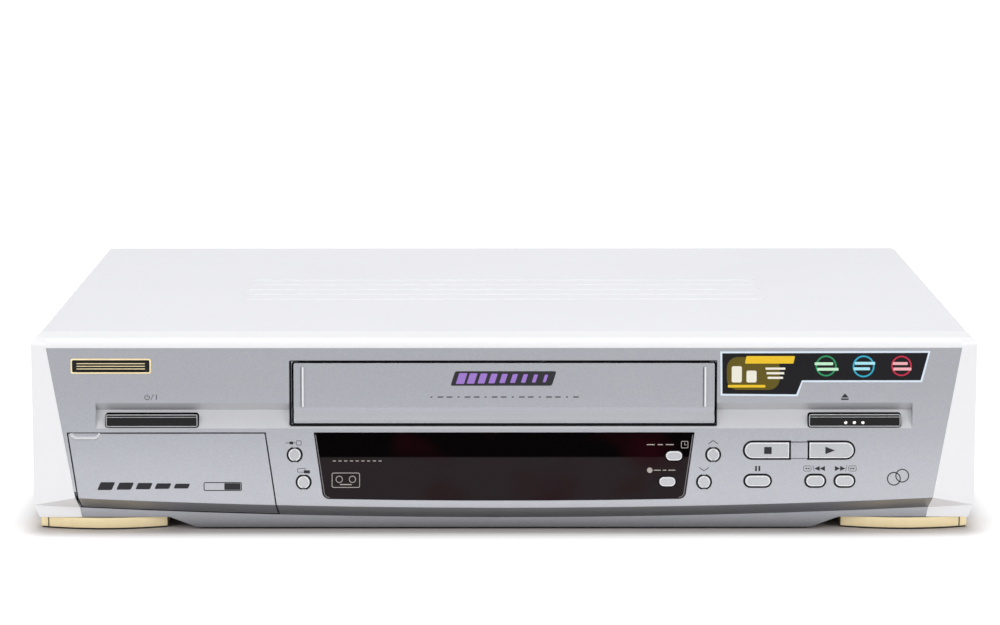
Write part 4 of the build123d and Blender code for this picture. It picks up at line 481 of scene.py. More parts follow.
def frontMarks():
    # strokes, arcs and patches about the middle of each mark, laid on the face
    marks = {
        "power": (-159.8, 62.2), "eject": (154.7, 62.3), "pause": (115.3, 29.6), "rewind": (141.5, 29.6),
        "forward": (154.8, 29.6), "up": (95.0, 41.6), "down": (90.9, 29.4), "link": (-95.2, 41.4),
        "format": (-91.2, 28.6), "rings": (179.2, 25.6),
    }
    shapes = []
    x, z = marks["power"]
    shapes.append(ribbon(arc(x - 2.2, z, 1.05, 125, 415, 30), 0.28))  # an open ring and its stroke, a slash, a bar
    shapes.append(ribbon([(x - 2.2, z + 0.1), (x - 2.2, z + 1.45)], 0.28))
    shapes.append(ribbon([(x - 0.5, z - 1.2), (x + 0.7, z + 1.4)], 0.22))
    shapes.append(ribbon([(x + 2.0, z - 1.1), (x + 2.0, z + 1.3)], 0.3))
    x, z = marks["eject"]
    shapes.append(patch([(x - 1.7, z - 0.3), (x + 1.7, z - 0.3), (x, z + 1.6)]))
    shapes.append(patch([(x - 1.7, z - 1.4), (x + 1.7, z - 1.4), (x + 1.7, z - 0.7), (x - 1.7, z - 0.7)]))
    x, z = marks["pause"]
    for side in (-1, 1):
        shapes.append(patch(roundedBox(x + side * 0.75, z, 0.8, 2.4, 0.05)))
    for name, point in (("rewind", -1), ("forward", 1)):
        x, z = marks[name]
        for k in (0, 1):
            shapes.append(patch(triangle(x + point * (2.4 * k - 3.2), z, 2.4, 2.3, point)))
            shapes.append(patch(triangle(x + point * (1.1 * k + 3.1), z, 1.0, 0.9, point)))
        shapes.append(ribbon([(x + point * 0.5, z - 1.4), (x + point * 1.1, z + 1.5)], 0.2))
        shapes.append(ribbon(roundedBox(x + point * 3.6, z, 3.4, 2.4, 0.6), 0.2, True))
    for name, tip in (("up", 1), ("down", -1)):
        x, z = marks[name]
        shapes.append(ribbon([(x - 2.2, z - tip * 0.75), (x, z + tip * 0.85), (x + 2.2, z - tip * 0.75)], 0.3))
    x, z = marks["link"]  # a plug going into a socket
    shapes.append(ribbon(roundedBox(x + 1.9, z, 2.2, 2.0, 0.3), 0.24, True))
    shapes.append(patch(roundedBox(x - 1.5, z, 1.7, 1.3, 0.2)))
    shapes.append(ribbon([(x - 4.2, z), (x - 2.2, z)], 0.26))
    shapes.append(ribbon([(x - 0.7, z), (x + 0.4, z)], 0.26))
    x, z = marks["format"]  # two sheets, one over the other
    shapes.append(ribbon(roundedBox(x - 1.0, z + 0.3, 3.4, 1.7, 0.25), 0.22, True))
    shapes.append(patch(roundedBox(x + 1.5, z - 0.4, 2.8, 1.4, 0.2)))
    x, z = marks["rings"]  # two rings hooked together
    for side in (-1, 1):
        shapes.append(ribbon(circle(x + side * 1.9, z + side * 0.7, 2.9), 0.5, True))
    printed("frontMarks", shapes, onFace, inkThick, ink, "cabinet", "component_black")


frontMarks()

# the window's own marks stand on its surface, a little before the face
lensProud = 0.3


def windowMarks():
    # the same on the window, in the pale ink
    marks = {
        "clock": (82.0, 40.6), "frame": 3.0, "dot": (66.2, 28.9), "cassette": (-72.0, 24.4), "scale": (-77.2, 33.2),
        "dashTall": 0.4, "fine": 0.26, "line": 0.32,
    }
    shapes = []
    x, z = marks["clock"]  # a clock face in a frame
    shapes.append(ribbon(roundedBox(x, z, marks["frame"], marks["frame"], 0.4), marks["fine"], True))
    shapes.append(ribbon([(x, z + 0.95), (x, z - 0.1), (x + 0.75, z - 0.1)], marks["fine"]))
    shapes.append(patch(circle(*marks["dot"], 1.25)))  # the record dot
    for k, wide in enumerate((3.2, 1.6, 3.2)):
        shapes.append(patch(roundedBox(69.6 + 3.3 * k, marks["dot"][1], wide, marks["dashTall"], 0.1)))
    for k, wide in enumerate((3.6, 2.4, 3.6)):
        shapes.append(patch(roundedBox(66.6 + 4.3 * k, z, wide, marks["dashTall"], 0.1)))
    x, z = marks["cassette"]  # a cassette with its two reels
    shapes.append(ribbon(roundedBox(x, z, 12.5, 6.6, 0.7), marks["line"], True))
    for side in (-1, 1):
        shapes.append(ribbon(circle(x + side * 3.0, z + 0.4, 1.45), marks["line"], True))
    shapes.append(patch(roundedBox(x, z - 2.0, 5.4, 0.45, 0.1)))
    x, z = marks["scale"]  # a scale of short strokes above it
    for k in range(9):
        shapes.append(patch(roundedBox(x + 2.6 * k, z, 1.4, 0.42, 0.1)))
    printed("windowMarks", shapes, liftedFace(lensProud), inkThick, paleInk, "cabinet", "component_black")


windowMarks()


def windowHighlight():
    # a painted highlight on the window's bevel: a fine pale line just inside its slanting ends and along its foot
    look = {"high": 45.1, "low": 17.6, "halfHigh": 85.7, "halfLow": 81.9, "wide": 0.4, "round": 2.5, "drop": 1.4}
    bevelHighlight = moulded("windowBevelHighlight", (0.16, 0.15, 0.155), 0.2, specular=0.4, grain=700.0, depth=0.000004, edge=0.0)
    ends = []
    for side in (-1, 1):
        top = (side * look["halfHigh"], look["high"])
        start = 270 if side > 0 else 180
        middle = side * (look["halfLow"] - look["round"])
        foot = arc(middle, look["low"] + look["drop"], look["round"], start, start + 90, 8)
        foot = foot if side < 0 else foot[::-1]
        ends.append(ribbon(np.concatenate([[top], foot]), look["wide"]))
    printed("windowBevelHighlight", ends, liftedFace(lensProud), 0.02, bevelHighlight, "cabinet", "smoked_lens")


windowHighlight()


def buttonMarks():
    # a square on one cap and a triangle on the other, a little off each cap's middle
    look = {
        "proud": 1.1, "height": 38.0, "square": (3.4, 3.2), "squareShift": 0.4,
        "arrow": (4.4, 3.4), "arrowShift": -0.6,
    }
    middles = {}
    for name in ("stop_button", "play_button"):
        low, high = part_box(name)
        middles[name] = (low.x + high.x) / 2 / mm
    z = look["height"]
    square = patch(roundedBox(middles["stop_button"] + look["squareShift"], z, *look["square"], 0.05))
    arrow = patch(triangle(middles["play_button"] + look["arrowShift"], z, *look["arrow"], 1))
    lifted = liftedFace(look["proud"])
    printed("stopMark", [square], lifted, inkThick, ink, "stop_button", "component_black")
    printed("playMark", [arrow], lifted, inkThick, ink, "play_button", "component_black")


buttonMarks()


def doorMotif():
    # slanted bars that shorten to the right, violet on a black ground, over a line of dashes
    look = {
        "middle": 0.3, "height": 70.75, "slant": 0.32, "bars": 9, "start": -19.6, "pitch": 4.75,
        "ground": (46.0, 6.6, 0.9), "barWide": 3.7, "barTall": 4.9, "dashes": 17, "dashX": -33.0, "dashZ": 62.3,
    }
    ground = patch(roundedBox(look["middle"] - 0.6, look["height"], *look["ground"], look["slant"]))
    bars, dashes = [], []
    for k in range(look["bars"]):
        x = look["middle"] + look["start"] + look["pitch"] * k
        wide, tall = look["barWide"] - 0.28 * k, look["barTall"] - 0.18 * k
        bars.append(patch(roundedBox(x, look["height"], wide, tall, 0.35, look["slant"])))
    for k in range(look["dashes"]):
        wide = 2.6 if k % 3 else 0.9
        dashes.append(patch(roundedBox(look["dashX"] + 4.1 * k, look["dashZ"], wide, 0.5, 0.1, look["slant"])))
    printed("motifGround", [ground], onFace, inkThick, ink, "cassette_door", "component_black")
    printed("motifBars", bars, liftedFace(inkThick), inkThick, purpleInk, "cassette_door", "component_black")
    printed("doorDashes", dashes, onFace, inkThick, ink, "cassette_door", "component_black")


doorMotif()


def flapMotif():
    # five leaning strokes and a frame, in the dark ink
    look = {"x": -181.0, "z": 21.7, "pitch": 8.6, "strokes": 5, "wide": 6.6, "tall": 3.6, "slant": 0.45}
    shapes = []
    for k in range(look["strokes"]):
        x, tall = look["x"] + look["pitch"] * k, look["tall"] - 0.35 * k
        shapes.append(patch(roundedBox(x, look["z"], look["wide"], tall, 0.5, look["slant"])))
    shapes.append(ribbon(roundedBox(-128.0, 21.5, 17.0, 3.6, 0.5), 0.4, True))
    shapes.append(patch(roundedBox(-123.6, 21.5, 7.4, 3.0, 0.3)))
    printed("flapMotif", shapes, onFace, inkThick, ink, "jack_flap", "component_black")


flapMotif()


def badge():
    # a dark plate in a gold rim: the rim's section is a low round, carried round a rounded box
    look = {
        "x": -178.3, "z": 76.4, "wide": 36.6, "tall": 7.0, "round": 1.0, "rim": 0.85, "proud": 0.75,
        "plate": 0.35, "lines": (-1.2, 0, 1.2), "half": 15.5, "line": 0.35, "steps": 9,
    }
    x, z = look["x"], look["z"]
    outline = roundedBox(x, z, look["wide"], look["tall"], look["round"])
    inner = roundedBox(x, z, look["wide"] - 2 * look["rim"], look["tall"] - 2 * look["rim"], look["round"] * 0.5)
    t = np.linspace(0, math.pi, look["steps"])[:, None]
    across = (1 - np.cos(t)) / 2
    u = outline[None, :, 0] * (1 - across) + inner[None, :, 0] * across
    v = outline[None, :, 1] * (1 - across) + inner[None, :, 1] * across
    lift = np.sin(t) * look["proud"] * np.ones_like(u) - 0.05
    points = onFace(u, v, lift).reshape(-1, 3)
    count = len(outline)
    last = (look["steps"] - 1) * count
    faces = grid(look["steps"], count, closedColumns=True)
    faces += [[last + (k + 1) % count, last + k, k, (k + 1) % count] for k in range(count)]
    finishMesh("badgeRim", points, faces, finishes["gold_trim"], "cabinet", "gold_trim")
    dark = finishes["dark_bar"]
    printed("badgePlate", [patch(inner)], onFace, look["plate"], dark, "cabinet", "dark_bar", sink=0.05)
    strokes = [ribbon([(x - look["half"], z + s), (x + look["half"], z + s)], look["line"]) for s in look["lines"]]
    printed("badgeLines", strokes, liftedFace(look["plate"]), 0.12, finishes["gold_trim"], "cabinet", "gold_trim")


badge()


def sticker():
    # a stepped label with a pale border: an olive field, a gold flag and three coloured rings
    edge = [(98, 83.0), (193.3, 83.2), (189.7, 69.0), (135.4, 69.0), (133.3, 62.6), (98.2, 62.9)]
    middle = np.array([(1, -1), (-1.2, -1), (-0.9, 1), (-0.4, 1), (-0.9, 1), (1, 1)]) * 0.85
    inner = np.array(edge) + middle
    border = moulded("labelBorder", (0.70, 0.80, 0.90), 0.3, grain=600.0, depth=0.000004, edge=0.0)
    ground = printInk("labelGround", (0.007, 0.007, 0.009), 0.3)
    printed("labelBorder", [patch(edge)], onFace, 0.1, border, "cabinet", "component_black")
    printed("labelGround", [patch(inner)], liftedFace(0.1), 0.02, ground, "cabinet", "component_black")
    bars = {  # the two bars across each ring
        "green": ((145.0, 77.4, 8.4), (146.8, 74.9, 9.6)), "cyan": ((163.6, 77.6, 9.2), (162.2, 75.1, 7.4)),
        "red": ((179.6, 77.5, 6.8), (180.6, 75.0, 8.2)),
    }
    across = {name: [patch(roundedBox(x, z, wide, 1.3, 0.3)) for x, z, wide in rows] for name, rows in bars.items()}
    flag = [patch(roundedBox(120.5, 79.2, 22.0, 3.4, 0.4, 0.2)), patch(roundedBox(110, 67.2, 17, 1.2, 0.3))]
    blocks = [patch(roundedBox(105.5, 72.6, 4.6, 7.4, 0.8)), patch(roundedBox(112.2, 71.6, 4.6, 5.4, 0.8))]
    blocks += [patch(roundedBox(123.0, 75.2 - 2.1 * k, 9.0 - k, 1.0, 0.2)) for k in range(3)]
    tones = {
        "olive": ((0.12, 0.09, 0.012), [patch(roundedBox(113, 73.0, 24.0, 15.0, 5.0))]),
        "gold": ((0.85, 0.55, 0.03), flag),
        "cream": ((0.85, 0.82, 0.70), blocks),
        "green": ((0.03, 0.30, 0.12), [ribbon(circle(146.0, 76.4, 4.4), 0.7, True)]),
        "greenBars": ((0.55, 0.85, 0.60), across["green"]),
        "cyan": ((0.04, 0.42, 0.60), [ribbon(circle(163.0, 76.2, 4.6), 0.7, True)]),
        "cyanBars": ((0.40, 0.80, 0.90), across["cyan"]),
        "red": ((0.55, 0.03, 0.07), [ribbon(circle(180.2, 76.4, 4.3), 0.7, True)]),
        "redBars": ((0.90, 0.45, 0.48), across["red"]),
    }
    for step, (name, (colour, shapes)) in enumerate(tones.items()):
        material = printInk("label" + name.capitalize(), colour, 0.3)
        base = 0.12 + 0.01 * step
        printed("label_" + name, shapes, liftedFace(base), 0.02, material, "cabinet", "component_black")


sticker()


def barDetails():
    # each bar: a bright rim and a thin bright fold under its upper edge, both painted highlights, and on one of
    # them three domes
    look = {
        "wide": 41.6, "tall": 5.7, "height": 51.6, "rim": 0.42, "foldHighlight": 1.3, "proud": 0.4,
        "domePitch": 3.9, "dome": 0.75, "domeTall": 0.35, "shift": -0.2, "drop": 1.0, "steps": 7, "round": 20,
    }
    bars = {"power_button": -160.0, "eject_button": 159.2}
    for name, x in bars.items():
        wide, tall = look["wide"] - look["rim"], look["tall"] - look["rim"]
        rim = ribbon(roundedBox(x, look["height"], wide, tall, 0.7), look["rim"], True)
        half = look["wide"] / 2 - look["rim"]
        level = look["height"] + look["tall"] / 2 - look["foldHighlight"]
        foldHighlight = ribbon([(x - half, level), (x + half, level)], 0.26)
        printed(name + "_rimHighlight", [rim, foldHighlight], liftedFace(look["proud"]), 0.15, capPaint, name, "silver_plastic")
    # a dome is a quarter arc turned round its axis
    rise = np.linspace(0, math.pi / 2, look["steps"])
    turn = np.linspace(0, 2 * math.pi, look["round"], endpoint=False)
    t, p = np.meshgrid(rise, turn, indexing="ij")
    for k in (-1, 0, 1):
        middle = bars["eject_button"] + look["shift"] + look["domePitch"] * k
        u = middle + look["dome"] * np.cos(t) * np.cos(p)
        v = look["height"] - look["drop"] + look["dome"] * np.cos(t) * np.sin(p)
        points = onFace(u, v, look["proud"] + look["domeTall"] * np.sin(t)).reshape(-1, 3)
        faces = grid(look["steps"], look["round"], closedColumns=True)
        finishMesh(f"ejectDome_{k + 2}", points, faces, finishes["nickel"], "eject_button", "nickel")


barDetails()


def doorGapShade():
    # painted shade: a black edge round the cassette opening darkens its gap, wider at the left and along the foot
    look = {"left": -97.0, "right": 96.4, "high": 78.75, "low": 49.55, "upright": 1.0, "thin": 0.45}
    left, right, low, high = look["left"], look["right"], look["low"], look["high"]
    corners = [(left, high), (left, low), (right, low), (right, high)]
    gapShadeBlack = moulded("doorGapShadeBlack", (0.008, 0.008, 0.009), 0.9, specular=0.05, grain=1800.0, depth=0.00005, edge=0.0)
    edges = [
        ribbon(corners[:2], look["upright"]), ribbon(corners[1:3], look["upright"] * 0.8),
        ribbon(corners[2:], look["thin"]), ribbon([corners[3], corners[0]], look["thin"]),
    ]
    printed("doorGapShade", edges, onFace, 0.03, gapShadeBlack, "cabinet", "component_black", sink=0.4)


doorGapShade()


def capOutline(name, grow):
    # each cap's outline: a slot, or for stop and play a slot with one square end beside the bridge
    caps = {
        "stop_button": (119.4, 38.0, 20.2, 7.1, -1), "play_button": (148.7, 38.0, 20.2, 7.1, 1),
        "pause_button": (115.3, 24.0, 11.4, 4.8, 0), "rewind_button": (141.5, 24.0, 8.4, 4.8, 0),
        "fast_forward_button": (154.8, 24.0, 8.4, 4.8, 0), "channel_up_button": (95.0, 36.0, 5.6, 5.6, 0),
        "channel_down_button": (90.9, 23.5, 5.6, 5.6, 0), "link_button": (-95.2, 36.0, 5.6, 5.6, 0),
        "format_button": (-91.2, 23.5, 5.6, 5.6, 0), "timer_button": (77.2, 35.5, 7.4, 4.2, 0),
        "record_button": (74.2, 23.7, 7.4, 4.2, 0),
    }
    x, z, wide, tall, roundSide = caps[name]
    radius, reach = tall / 2 + grow, wide / 2 - tall / 2
    ends = [arc(x + reach, z, radius, -90, 90, 13), arc(x - reach, z, radius, 90, 270, 13)]
    if roundSide:
        square = x - roundSide * (wide / 2 + grow)
        flat = np.array([(square, z - radius), (square, z + radius)])
        ends[0 if roundSide < 0 else 1] = flat if roundSide < 0 else flat[::-1]
    return np.concatenate(ends)


def buttonEdges():
    # painted shade and highlight: round every cap a black ring on the face for the shade in its gap, and on the cap
    # a bright rim, a painted highlight on its rounded edge
    black = printInk("gapShadeBlack", (0.006, 0.006, 0.007))
    bright = moulded("paintedRimHighlight", (0.80, 0.80, 0.82), 0.3, 0.2, grain=1500.0, depth=0.00001, edge=0.0)
    wells = []
    for name in sorted(nodes):
        if not name.endswith("_button") or name in ("power_button", "eject_button"):
            continue
        inWindow = name in ("timer_button", "record_button")
        if not inWindow:
            wells.append(ribbon(capOutline(name, 0.68), 0.4, True))
        rim = [ribbon(capOutline(name, -0.32), 0.38, True)]
        printed(name + "_rimHighlight", rim, liftedFace(1.1), 0.03, bright, name, "silver_plastic")
    # painted shade along the gaps above and below the bridge between stop and play
    for side in (-1, 1):
        level = 38.0 + side * 3.75
        wells.append(ribbon([(130.3, level), (137.8, level)], 0.3))
    printed("buttonGapShade", wells, onFace, 0.02, black, "cabinet", "component_black")


buttonEdges()


def ribEdges():
    # painted highlight and shade: each of the door's two upright ribs has a bright crest and a line of shade at its
    # left
    look = {"at": 91.3, "middle": 66.9, "half": 9.0, "root": 0.95}
    crestHighlight = moulded("ribCrestHighlight", (0.82, 0.82, 0.84), 0.3, 0.2, grain=1500.0, depth=0.00001, edge=0.0)
    shade = printInk("ribShade", (0.10, 0.10, 0.11))
    for name, x in (("left", -look["at"]), ("right", look["at"])):
        ends = [(x, look["middle"] - look["half"]), (x, look["middle"] + look["half"])]
        line = [ribbon(ends, 0.55)]
        printed("ribCrestHighlight_" + name, line, liftedFace(0.5), 0.04, crestHighlight, "cassette_door", "silver_plastic")
        beside = [(px - look["root"], pz) for px, pz in ends]
        printed("ribShade_" + name, [ribbon(beside, 0.28)], onFace, 0.02, shade, "cassette_door", "component_black")


ribEdges()


def scoopWallLight():
    # painted light on the upward wall of the flap's finger scoop: at depth k the lower half of a slot whose radius
    # shrinks by the wall's inset times k, while the surface goes in by the scoop's depth times k
    look = {
        "x": -190.3, "top": 46.0, "half": 6.8, "drop": 2.9, "depth": 1.5, "inset": 1.05, "skin": 0.05, "rows": 6,
        "ends": 12, "margin": 4.0,
    }
    litPaint = moulded("scoopLitWall", (0.90, 0.90, 0.92), 0.3, grain=1500.0, depth=0.00001, edge=0.0)
    straight, low = look["half"] - look["drop"], 270
    layers = []
    for out in (look["skin"], 0.0):
        rows = []
        for k in np.linspace(0, 1, look["rows"]):
            radius = look["drop"] - look["inset"] * k - out
            left = arc(look["x"] - straight, look["top"], radius, 180 + look["margin"], low, look["ends"])
            right = arc(look["x"] + straight, look["top"], radius, low, 360 - look["margin"], look["ends"])
            ring = np.concatenate([left, right])
            rows.append(onFace(ring[:, 0], ring[:, 1], np.full(len(ring), out * 0.6 - look["depth"] * k)))
        layers.append(np.stack(rows))
    points, faces = sheet(layers)
    finishMesh("scoopWallLight", points, faces, litPaint, "jack_flap", "silver_plastic")


scoopWallLight()


def footRubber():
    # the black rubber rim under each gold band follows the same arc, from the table up to the band
    look = {"x": 183.5, "half": 28.6, "shoulder": 4.2, "sag": 5.0, "low": 0.06, "high": 0.72, "deep": 1.6}
    radius = (look["half"] ** 2 + look["sag"] ** 2) / (2 * look["sag"])
    dx = np.linspace(-look["half"], look["half"], 40)
    front = look["shoulder"] - look["sag"] + radius - np.sqrt(radius ** 2 - dx ** 2)
    for name, side in (("left", -1), ("right", 1)):
        x = side * look["x"] + dx
        back = front + look["deep"]
        edges = [(front, look["low"]), (front, look["high"]), (back, look["high"]), (back, look["low"])]
        rows = np.stack([np.stack([x, skirtY + depth, np.full_like(x, z)], -1) for depth, z in edges]) * mm
        faces = grid(4, 40, closedRows=True)
        faces += [[0, 40, 80, 120], [39, 159, 119, 79]]
        points = rows.reshape(-1, 3)
        finishMesh("footRubber_" + name, points, faces, finishes["foot_rubber"], "cabinet", "foot_rubber")


footRubber()


def bandSeams():
    # a dark seam near each gold band's outer end: the band's front is an arc of this sag over a chord
    look = {
        "x": 183.5, "half": 28.9, "shoulder": 4.0, "sag": 5.0, "low": 0.75, "high": 5.3, "at": 25.2, "wide": 0.5,
        "proud": 0.05, "sunk": 0.2,
    }
    radius = (look["half"] ** 2 + look["sag"] ** 2) / (2 * look["sag"])
    across, up = np.linspace(0, look["wide"], 4), np.linspace(look["low"], look["high"], 8)
    t, v = np.meshgrid(across, up, indexing="ij")
    dx = look["at"] + t
    depth = look["shoulder"] - look["sag"] + radius - np.sqrt(radius ** 2 - dx ** 2)
    for name, side in (("left", -1), ("right", 1)):
        x = side * (look["x"] + dx)
        layers = [np.stack([x, skirtY + depth - out, v], -1) * mm for out in (look["proud"], -look["sunk"])]
        finishMesh("bandSeam_" + name, *sheet(layers), finishes["dark_bar"], "cabinet", "dark_bar")


bandSeams()
print("front marks, label and badge placed")


# --- sockets, screws and the back
def socketRings():
    # the coloured insulator in the end of each round audio or picture socket
    colours = {"yellow": (0.75, 0.52, 0.02), "white": (0.78, 0.77, 0.74), "red": (0.50, 0.02, 0.02)}
    look = {
        "rear": (54.0, 34.0), "rearPitch": 16.0, "front": (-165.0, 31.0), "frontPitch": 17.0,
        "radius": 2.55, "wide": 1.7, "thick": 0.12,
    }
    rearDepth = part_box("rca_jacks")[1].y / mm - skirtY
    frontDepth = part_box("front_jacks")[0].y / mm - skirtY
    for k, (name, colour) in enumerate(colours.items()):
        plastic = moulded("socket" + name.capitalize(), colour, 0.35, grain=900.0, depth=0.00001)
        for end, depth, sign in (("rear", rearDepth, 1), ("front", frontDepth, -1)):
            x, z = look[end]
            ring = [ribbon(circle(x + look[end + "Pitch"] * k, z, look["radius"]), look["wide"], True)]
            printed(
                end + "Ring_" + name, ring, onRear(depth), sign * look["thick"], plastic,
                "cabinet", "component_black", sink=sign * 0.02,
            )


socketRings()


def screwCrosses():
    # painted shade: a dark cross on each screw head stands for its shaded cross recess
    dark = moulded("crossRecessShade", (0.02, 0.02, 0.02), 0.5, grain=1500.0, depth=0.00001, edge=0.0)

    def cross(cx, cy, arm=1.7, wide=0.62):
        # one arm's corner points, turned by quarter turns round the middle
        w = wide / 2
        corner = np.array([(w, w), (w, arm), (-w, arm)])
        quarter = np.array([(0, 1), (-1, 0)])
        arms = [corner @ np.linalg.matrix_power(quarter, k) for k in range(4)]
        return patch(np.concatenate(arms) + (cx, cy))

    rear = [(-120.0, 80.0), (0.0, 80.0), (120.0, 80.0), (-200.0, 14.0), (105.0, 14.0)]
    headTall = 1.6
    printed(
        "rearCrosses", [cross(*place) for place in rear], onRear(face["panel"] + headTall), 0.02, dark,
        "cabinet", "component_black",
    )
    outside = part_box("screws")
    for name, side in (("left", -1), ("right", 1)):
        x = (outside[0].x if side < 0 else outside[1].x) / mm

        def onSide(u, v, lift):
            return np.stack([x + side * lift, skirtY + u, v], -1) * mm

        heads = [cross(depth, 15.0) for depth in (60.0, 240.0)]
        printed("sideCrosses_" + name, heads, onSide, 0.02, dark, "cabinet", "component_black")


screwCrosses()


def socketContacts():
    # two rows of blades in each 21-way socket, standing on its floor
    look = {
        "x": 172.0, "heights": (32.5, 57.5), "blades": 10, "pitch": 3.9, "row": 2.6, "offset": 0.9,
        "mouth": 1.5, "deep": 12.0, "long": 7.0, "thick": 0.9, "wide": 3.4, "corner": 0.2,
    }
    blades = []
    for z in look["heights"]:
        for k in range(look["blades"]):
            for side in (-1, 1):
                x = look["x"] + (k - (look["blades"] - 1) / 2) * look["pitch"] + side * look["offset"]
                row = z + side * look["row"]
                blades.append(patch(roundedBox(x, row, look["thick"], look["wide"], look["corner"])))
    ground = onRear(face["panel"] + look["mouth"] - look["deep"])
    printed("socketBlades", blades, ground, look["long"], finishes["nickel"], "cabinet", "nickel")


socketContacts()


def rearMarks():
    # generic pictures beside the sockets, and a bare plate where the rating is riveted on
    look = {
        "aerials": ((34.0, -1), (58.0, 1)), "aerialX": 112.0, "wide": ((32.5, -1), (57.5, 1)), "wideX": 141.5,
        "sound": (70.0, 86.0), "soundZ": 43.2, "screen": (54.0, 45.0), "underline": ((50.0, 41.2), (90.0, 41.2)),
        "mains": (-172.0, 42.0), "line": 0.4,
    }
    shapes = []
    x = look["aerialX"]
    for z, tip in look["aerials"]:  # aerial in above, aerial out below
        shapes.append(ribbon([(x, z - 3.0), (x, z + 0.6)], look["line"]))
        shapes.append(ribbon([(x - 2.4, z + 3.4), (x, z + 0.6), (x + 2.4, z + 3.4)], look["line"]))
        shapes.append(patch(triangle(x - 5.2, z, 2.6, 2.6, tip)))
    x = look["wideX"]
    for z, tip in look["wide"]:
        shapes.append(patch(triangle(x, z + 5.0, 2.8, 2.8, tip)))
        shapes.append(ribbon([(x - tip * 3.4, z + 5.0), (x, z + 5.0)], look["line"]))
    z = look["soundZ"]
    for x in look["sound"]:  # a note for sound
        shapes.append(patch(circle(x - 0.9, z, 0.95, 16)))
        shapes.append(ribbon([(x - 0.15, z), (x - 0.15, z + 3.6), (x + 1.6, z + 2.8)], 0.36))
    screen = roundedBox(*look["screen"], 5.6, 4.0, 0.7)  # a screen for the picture
    shapes.append(ribbon(screen, look["line"], True))
    shapes.append(ribbon(look["underline"], 0.3))
    x, z = look["mains"]  # a sine wave over the mains inlet
    t = np.linspace(-math.pi, math.pi, 24)
    shapes.append(ribbon(np.column_stack([x + t * 1.1, z + 1.3 * np.sin(t)]), 0.45))
    printed("rearMarks", shapes, onRear(face["panel"]), inkThick, ink, "cabinet", "component_black")
    plate = {"x": -142.0, "z": 60.0, "wide": 52.0, "tall": 24.0, "thick": 0.35, "margin": 3.0}
    foil = moulded("plateFoil", (0.58, 0.585, 0.60), 0.5, 0.25, grain=700.0, depth=0.00001, edge=0.0)
    outline = roundedBox(plate["x"], plate["z"], plate["wide"], plate["tall"], 1.4)
    printed("barePlate", [patch(outline)], onRear(face["panel"]), plate["thick"], foil, "cabinet", "tin_plate")
    wide, tall = plate["wide"] - plate["margin"], plate["tall"] - plate["margin"]
    border = [ribbon(roundedBox(plate["x"], plate["z"], wide, tall, 0.9), 0.35, True)]
    onPlate = onRear(face["panel"] + plate["thick"])
    printed("plateBorder", border, onPlate, inkThick, ink, "cabinet", "component_black")


rearMarks()


def slotShadeScreen():
    # painted shade: a dark gauze behind the rear slots keeps the view in through the gaps dark; each point is
    # pushed back and forth by the weave of two sines
    look = {
        "x": -60.0, "z": 48.0, "wide": 78.0, "tall": 50.0, "behind": 2.0, "thick": 0.35, "wave": 0.12, "weave": 2.0,
        "rows": 118, "columns": 76,
    }
    u, v = np.meshgrid(np.linspace(-1, 1, look["rows"]), np.linspace(-1, 1, look["columns"]), indexing="ij")
    x, z = look["x"] + u * look["wide"] / 2, look["z"] + v * look["tall"] / 2
    wave = look["wave"] * np.sin(x * math.pi / look["weave"]) * np.sin(z * math.pi / look["weave"])
    depth = skirtY + face["panel"] - look["behind"] + wave
    layers = [np.stack([x, depth + out, z], -1) * mm for out in (0.0, look["thick"])]
    points, faces = sheet(layers)
    shadeGauze = moulded("shadeGauze", (0.010, 0.010, 0.011), 0.9, specular=0.05, grain=1600.0, depth=0.0001, edge=0.0)
    finishMesh("slotShadeScreen", points, faces, shadeGauze, "cabinet", "component_black")


slotShadeScreen()


def videoHeads():
    # a small plate with a ferrite chip in each window of the drum, turned about the drum's tilted axis
    look = {
        "depth": 236.0, "base": 26.0, "low": 15.4, "radius": 31.0, "tilt": math.radians(5.0), "side": 0.5,
        "windows": 6,
    }
    sine, cosine = math.sin(look["tilt"]), math.cos(look["tilt"])
    axis = Vector((-sine * look["side"], -sine, cosine)).normalized()
    across = (Vector((1, 0, 0)) - axis * axis.x).normalized()
    away = axis.cross(across)
    axes = np.array([across, away, axis])
    start = np.array([0, skirtY + look["depth"], look["base"]])
    plate, chip = (look["radius"] - 2.6, 1.1, 0.9, 0.9), (look["radius"] - 0.35, 0.35, 1.2, 0.4)
    shapes = []
    for k in range(look["windows"]):
        turn = math.radians(360 / look["windows"] * k)
        out, side = np.array([math.cos(turn), math.sin(turn)]), np.array([-math.sin(turn), math.cos(turn)])
        for reach, wide, low, tall in (plate, chip):
            back = reach - 1.2
            ring = [(back, -wide), (reach, -wide * 0.7), (reach, wide * 0.7), (back, wide)]
            points, faces = patch([out * r + side * w for r, w in ring])
            points[:, 2] = look["low"] + low + tall * points[:, 2]
            shapes.append((points @ axes + start, faces))
    points = np.concatenate([ring for ring, sides in shapes]) * mm
    faces = [[i + 8 * k for i in side] for k, (ring, sides) in enumerate(shapes) for side in sides]
    finishMesh("videoHeads", points, faces, finishes["brass"], "upper_drum", "brass")


videoHeads()
print("sockets, screws and the back dressed")


# --- camera, light and floor
camera = {
    "x": -5.28, "front": 1431.64, "z": 333.41,  # mm, front counted from the skirt
    "pitch": 9.243, "yaw": 0.136, "lens": 115.2, "sensor": 36.0, "near": 0.05, "far": 50.0,
}
eye = bpy.data.cameras.new("camera")
eye.lens, eye.sensor_width = camera["lens"], camera["sensor"]
eye.clip_start, eye.clip_end = camera["near"], camera["far"]
viewer = bpy.data.objects.new("camera", eye)
viewer.location = Vector((camera["x"], skirtY - camera["front"], camera["z"])) * mm
viewer.rotation_euler = (math.radians(90 - camera["pitch"]), 0, math.radians(-camera["yaw"]))
bpy.context.scene.collection.objects.link(viewer)
bpy.context.scene.camera = viewer


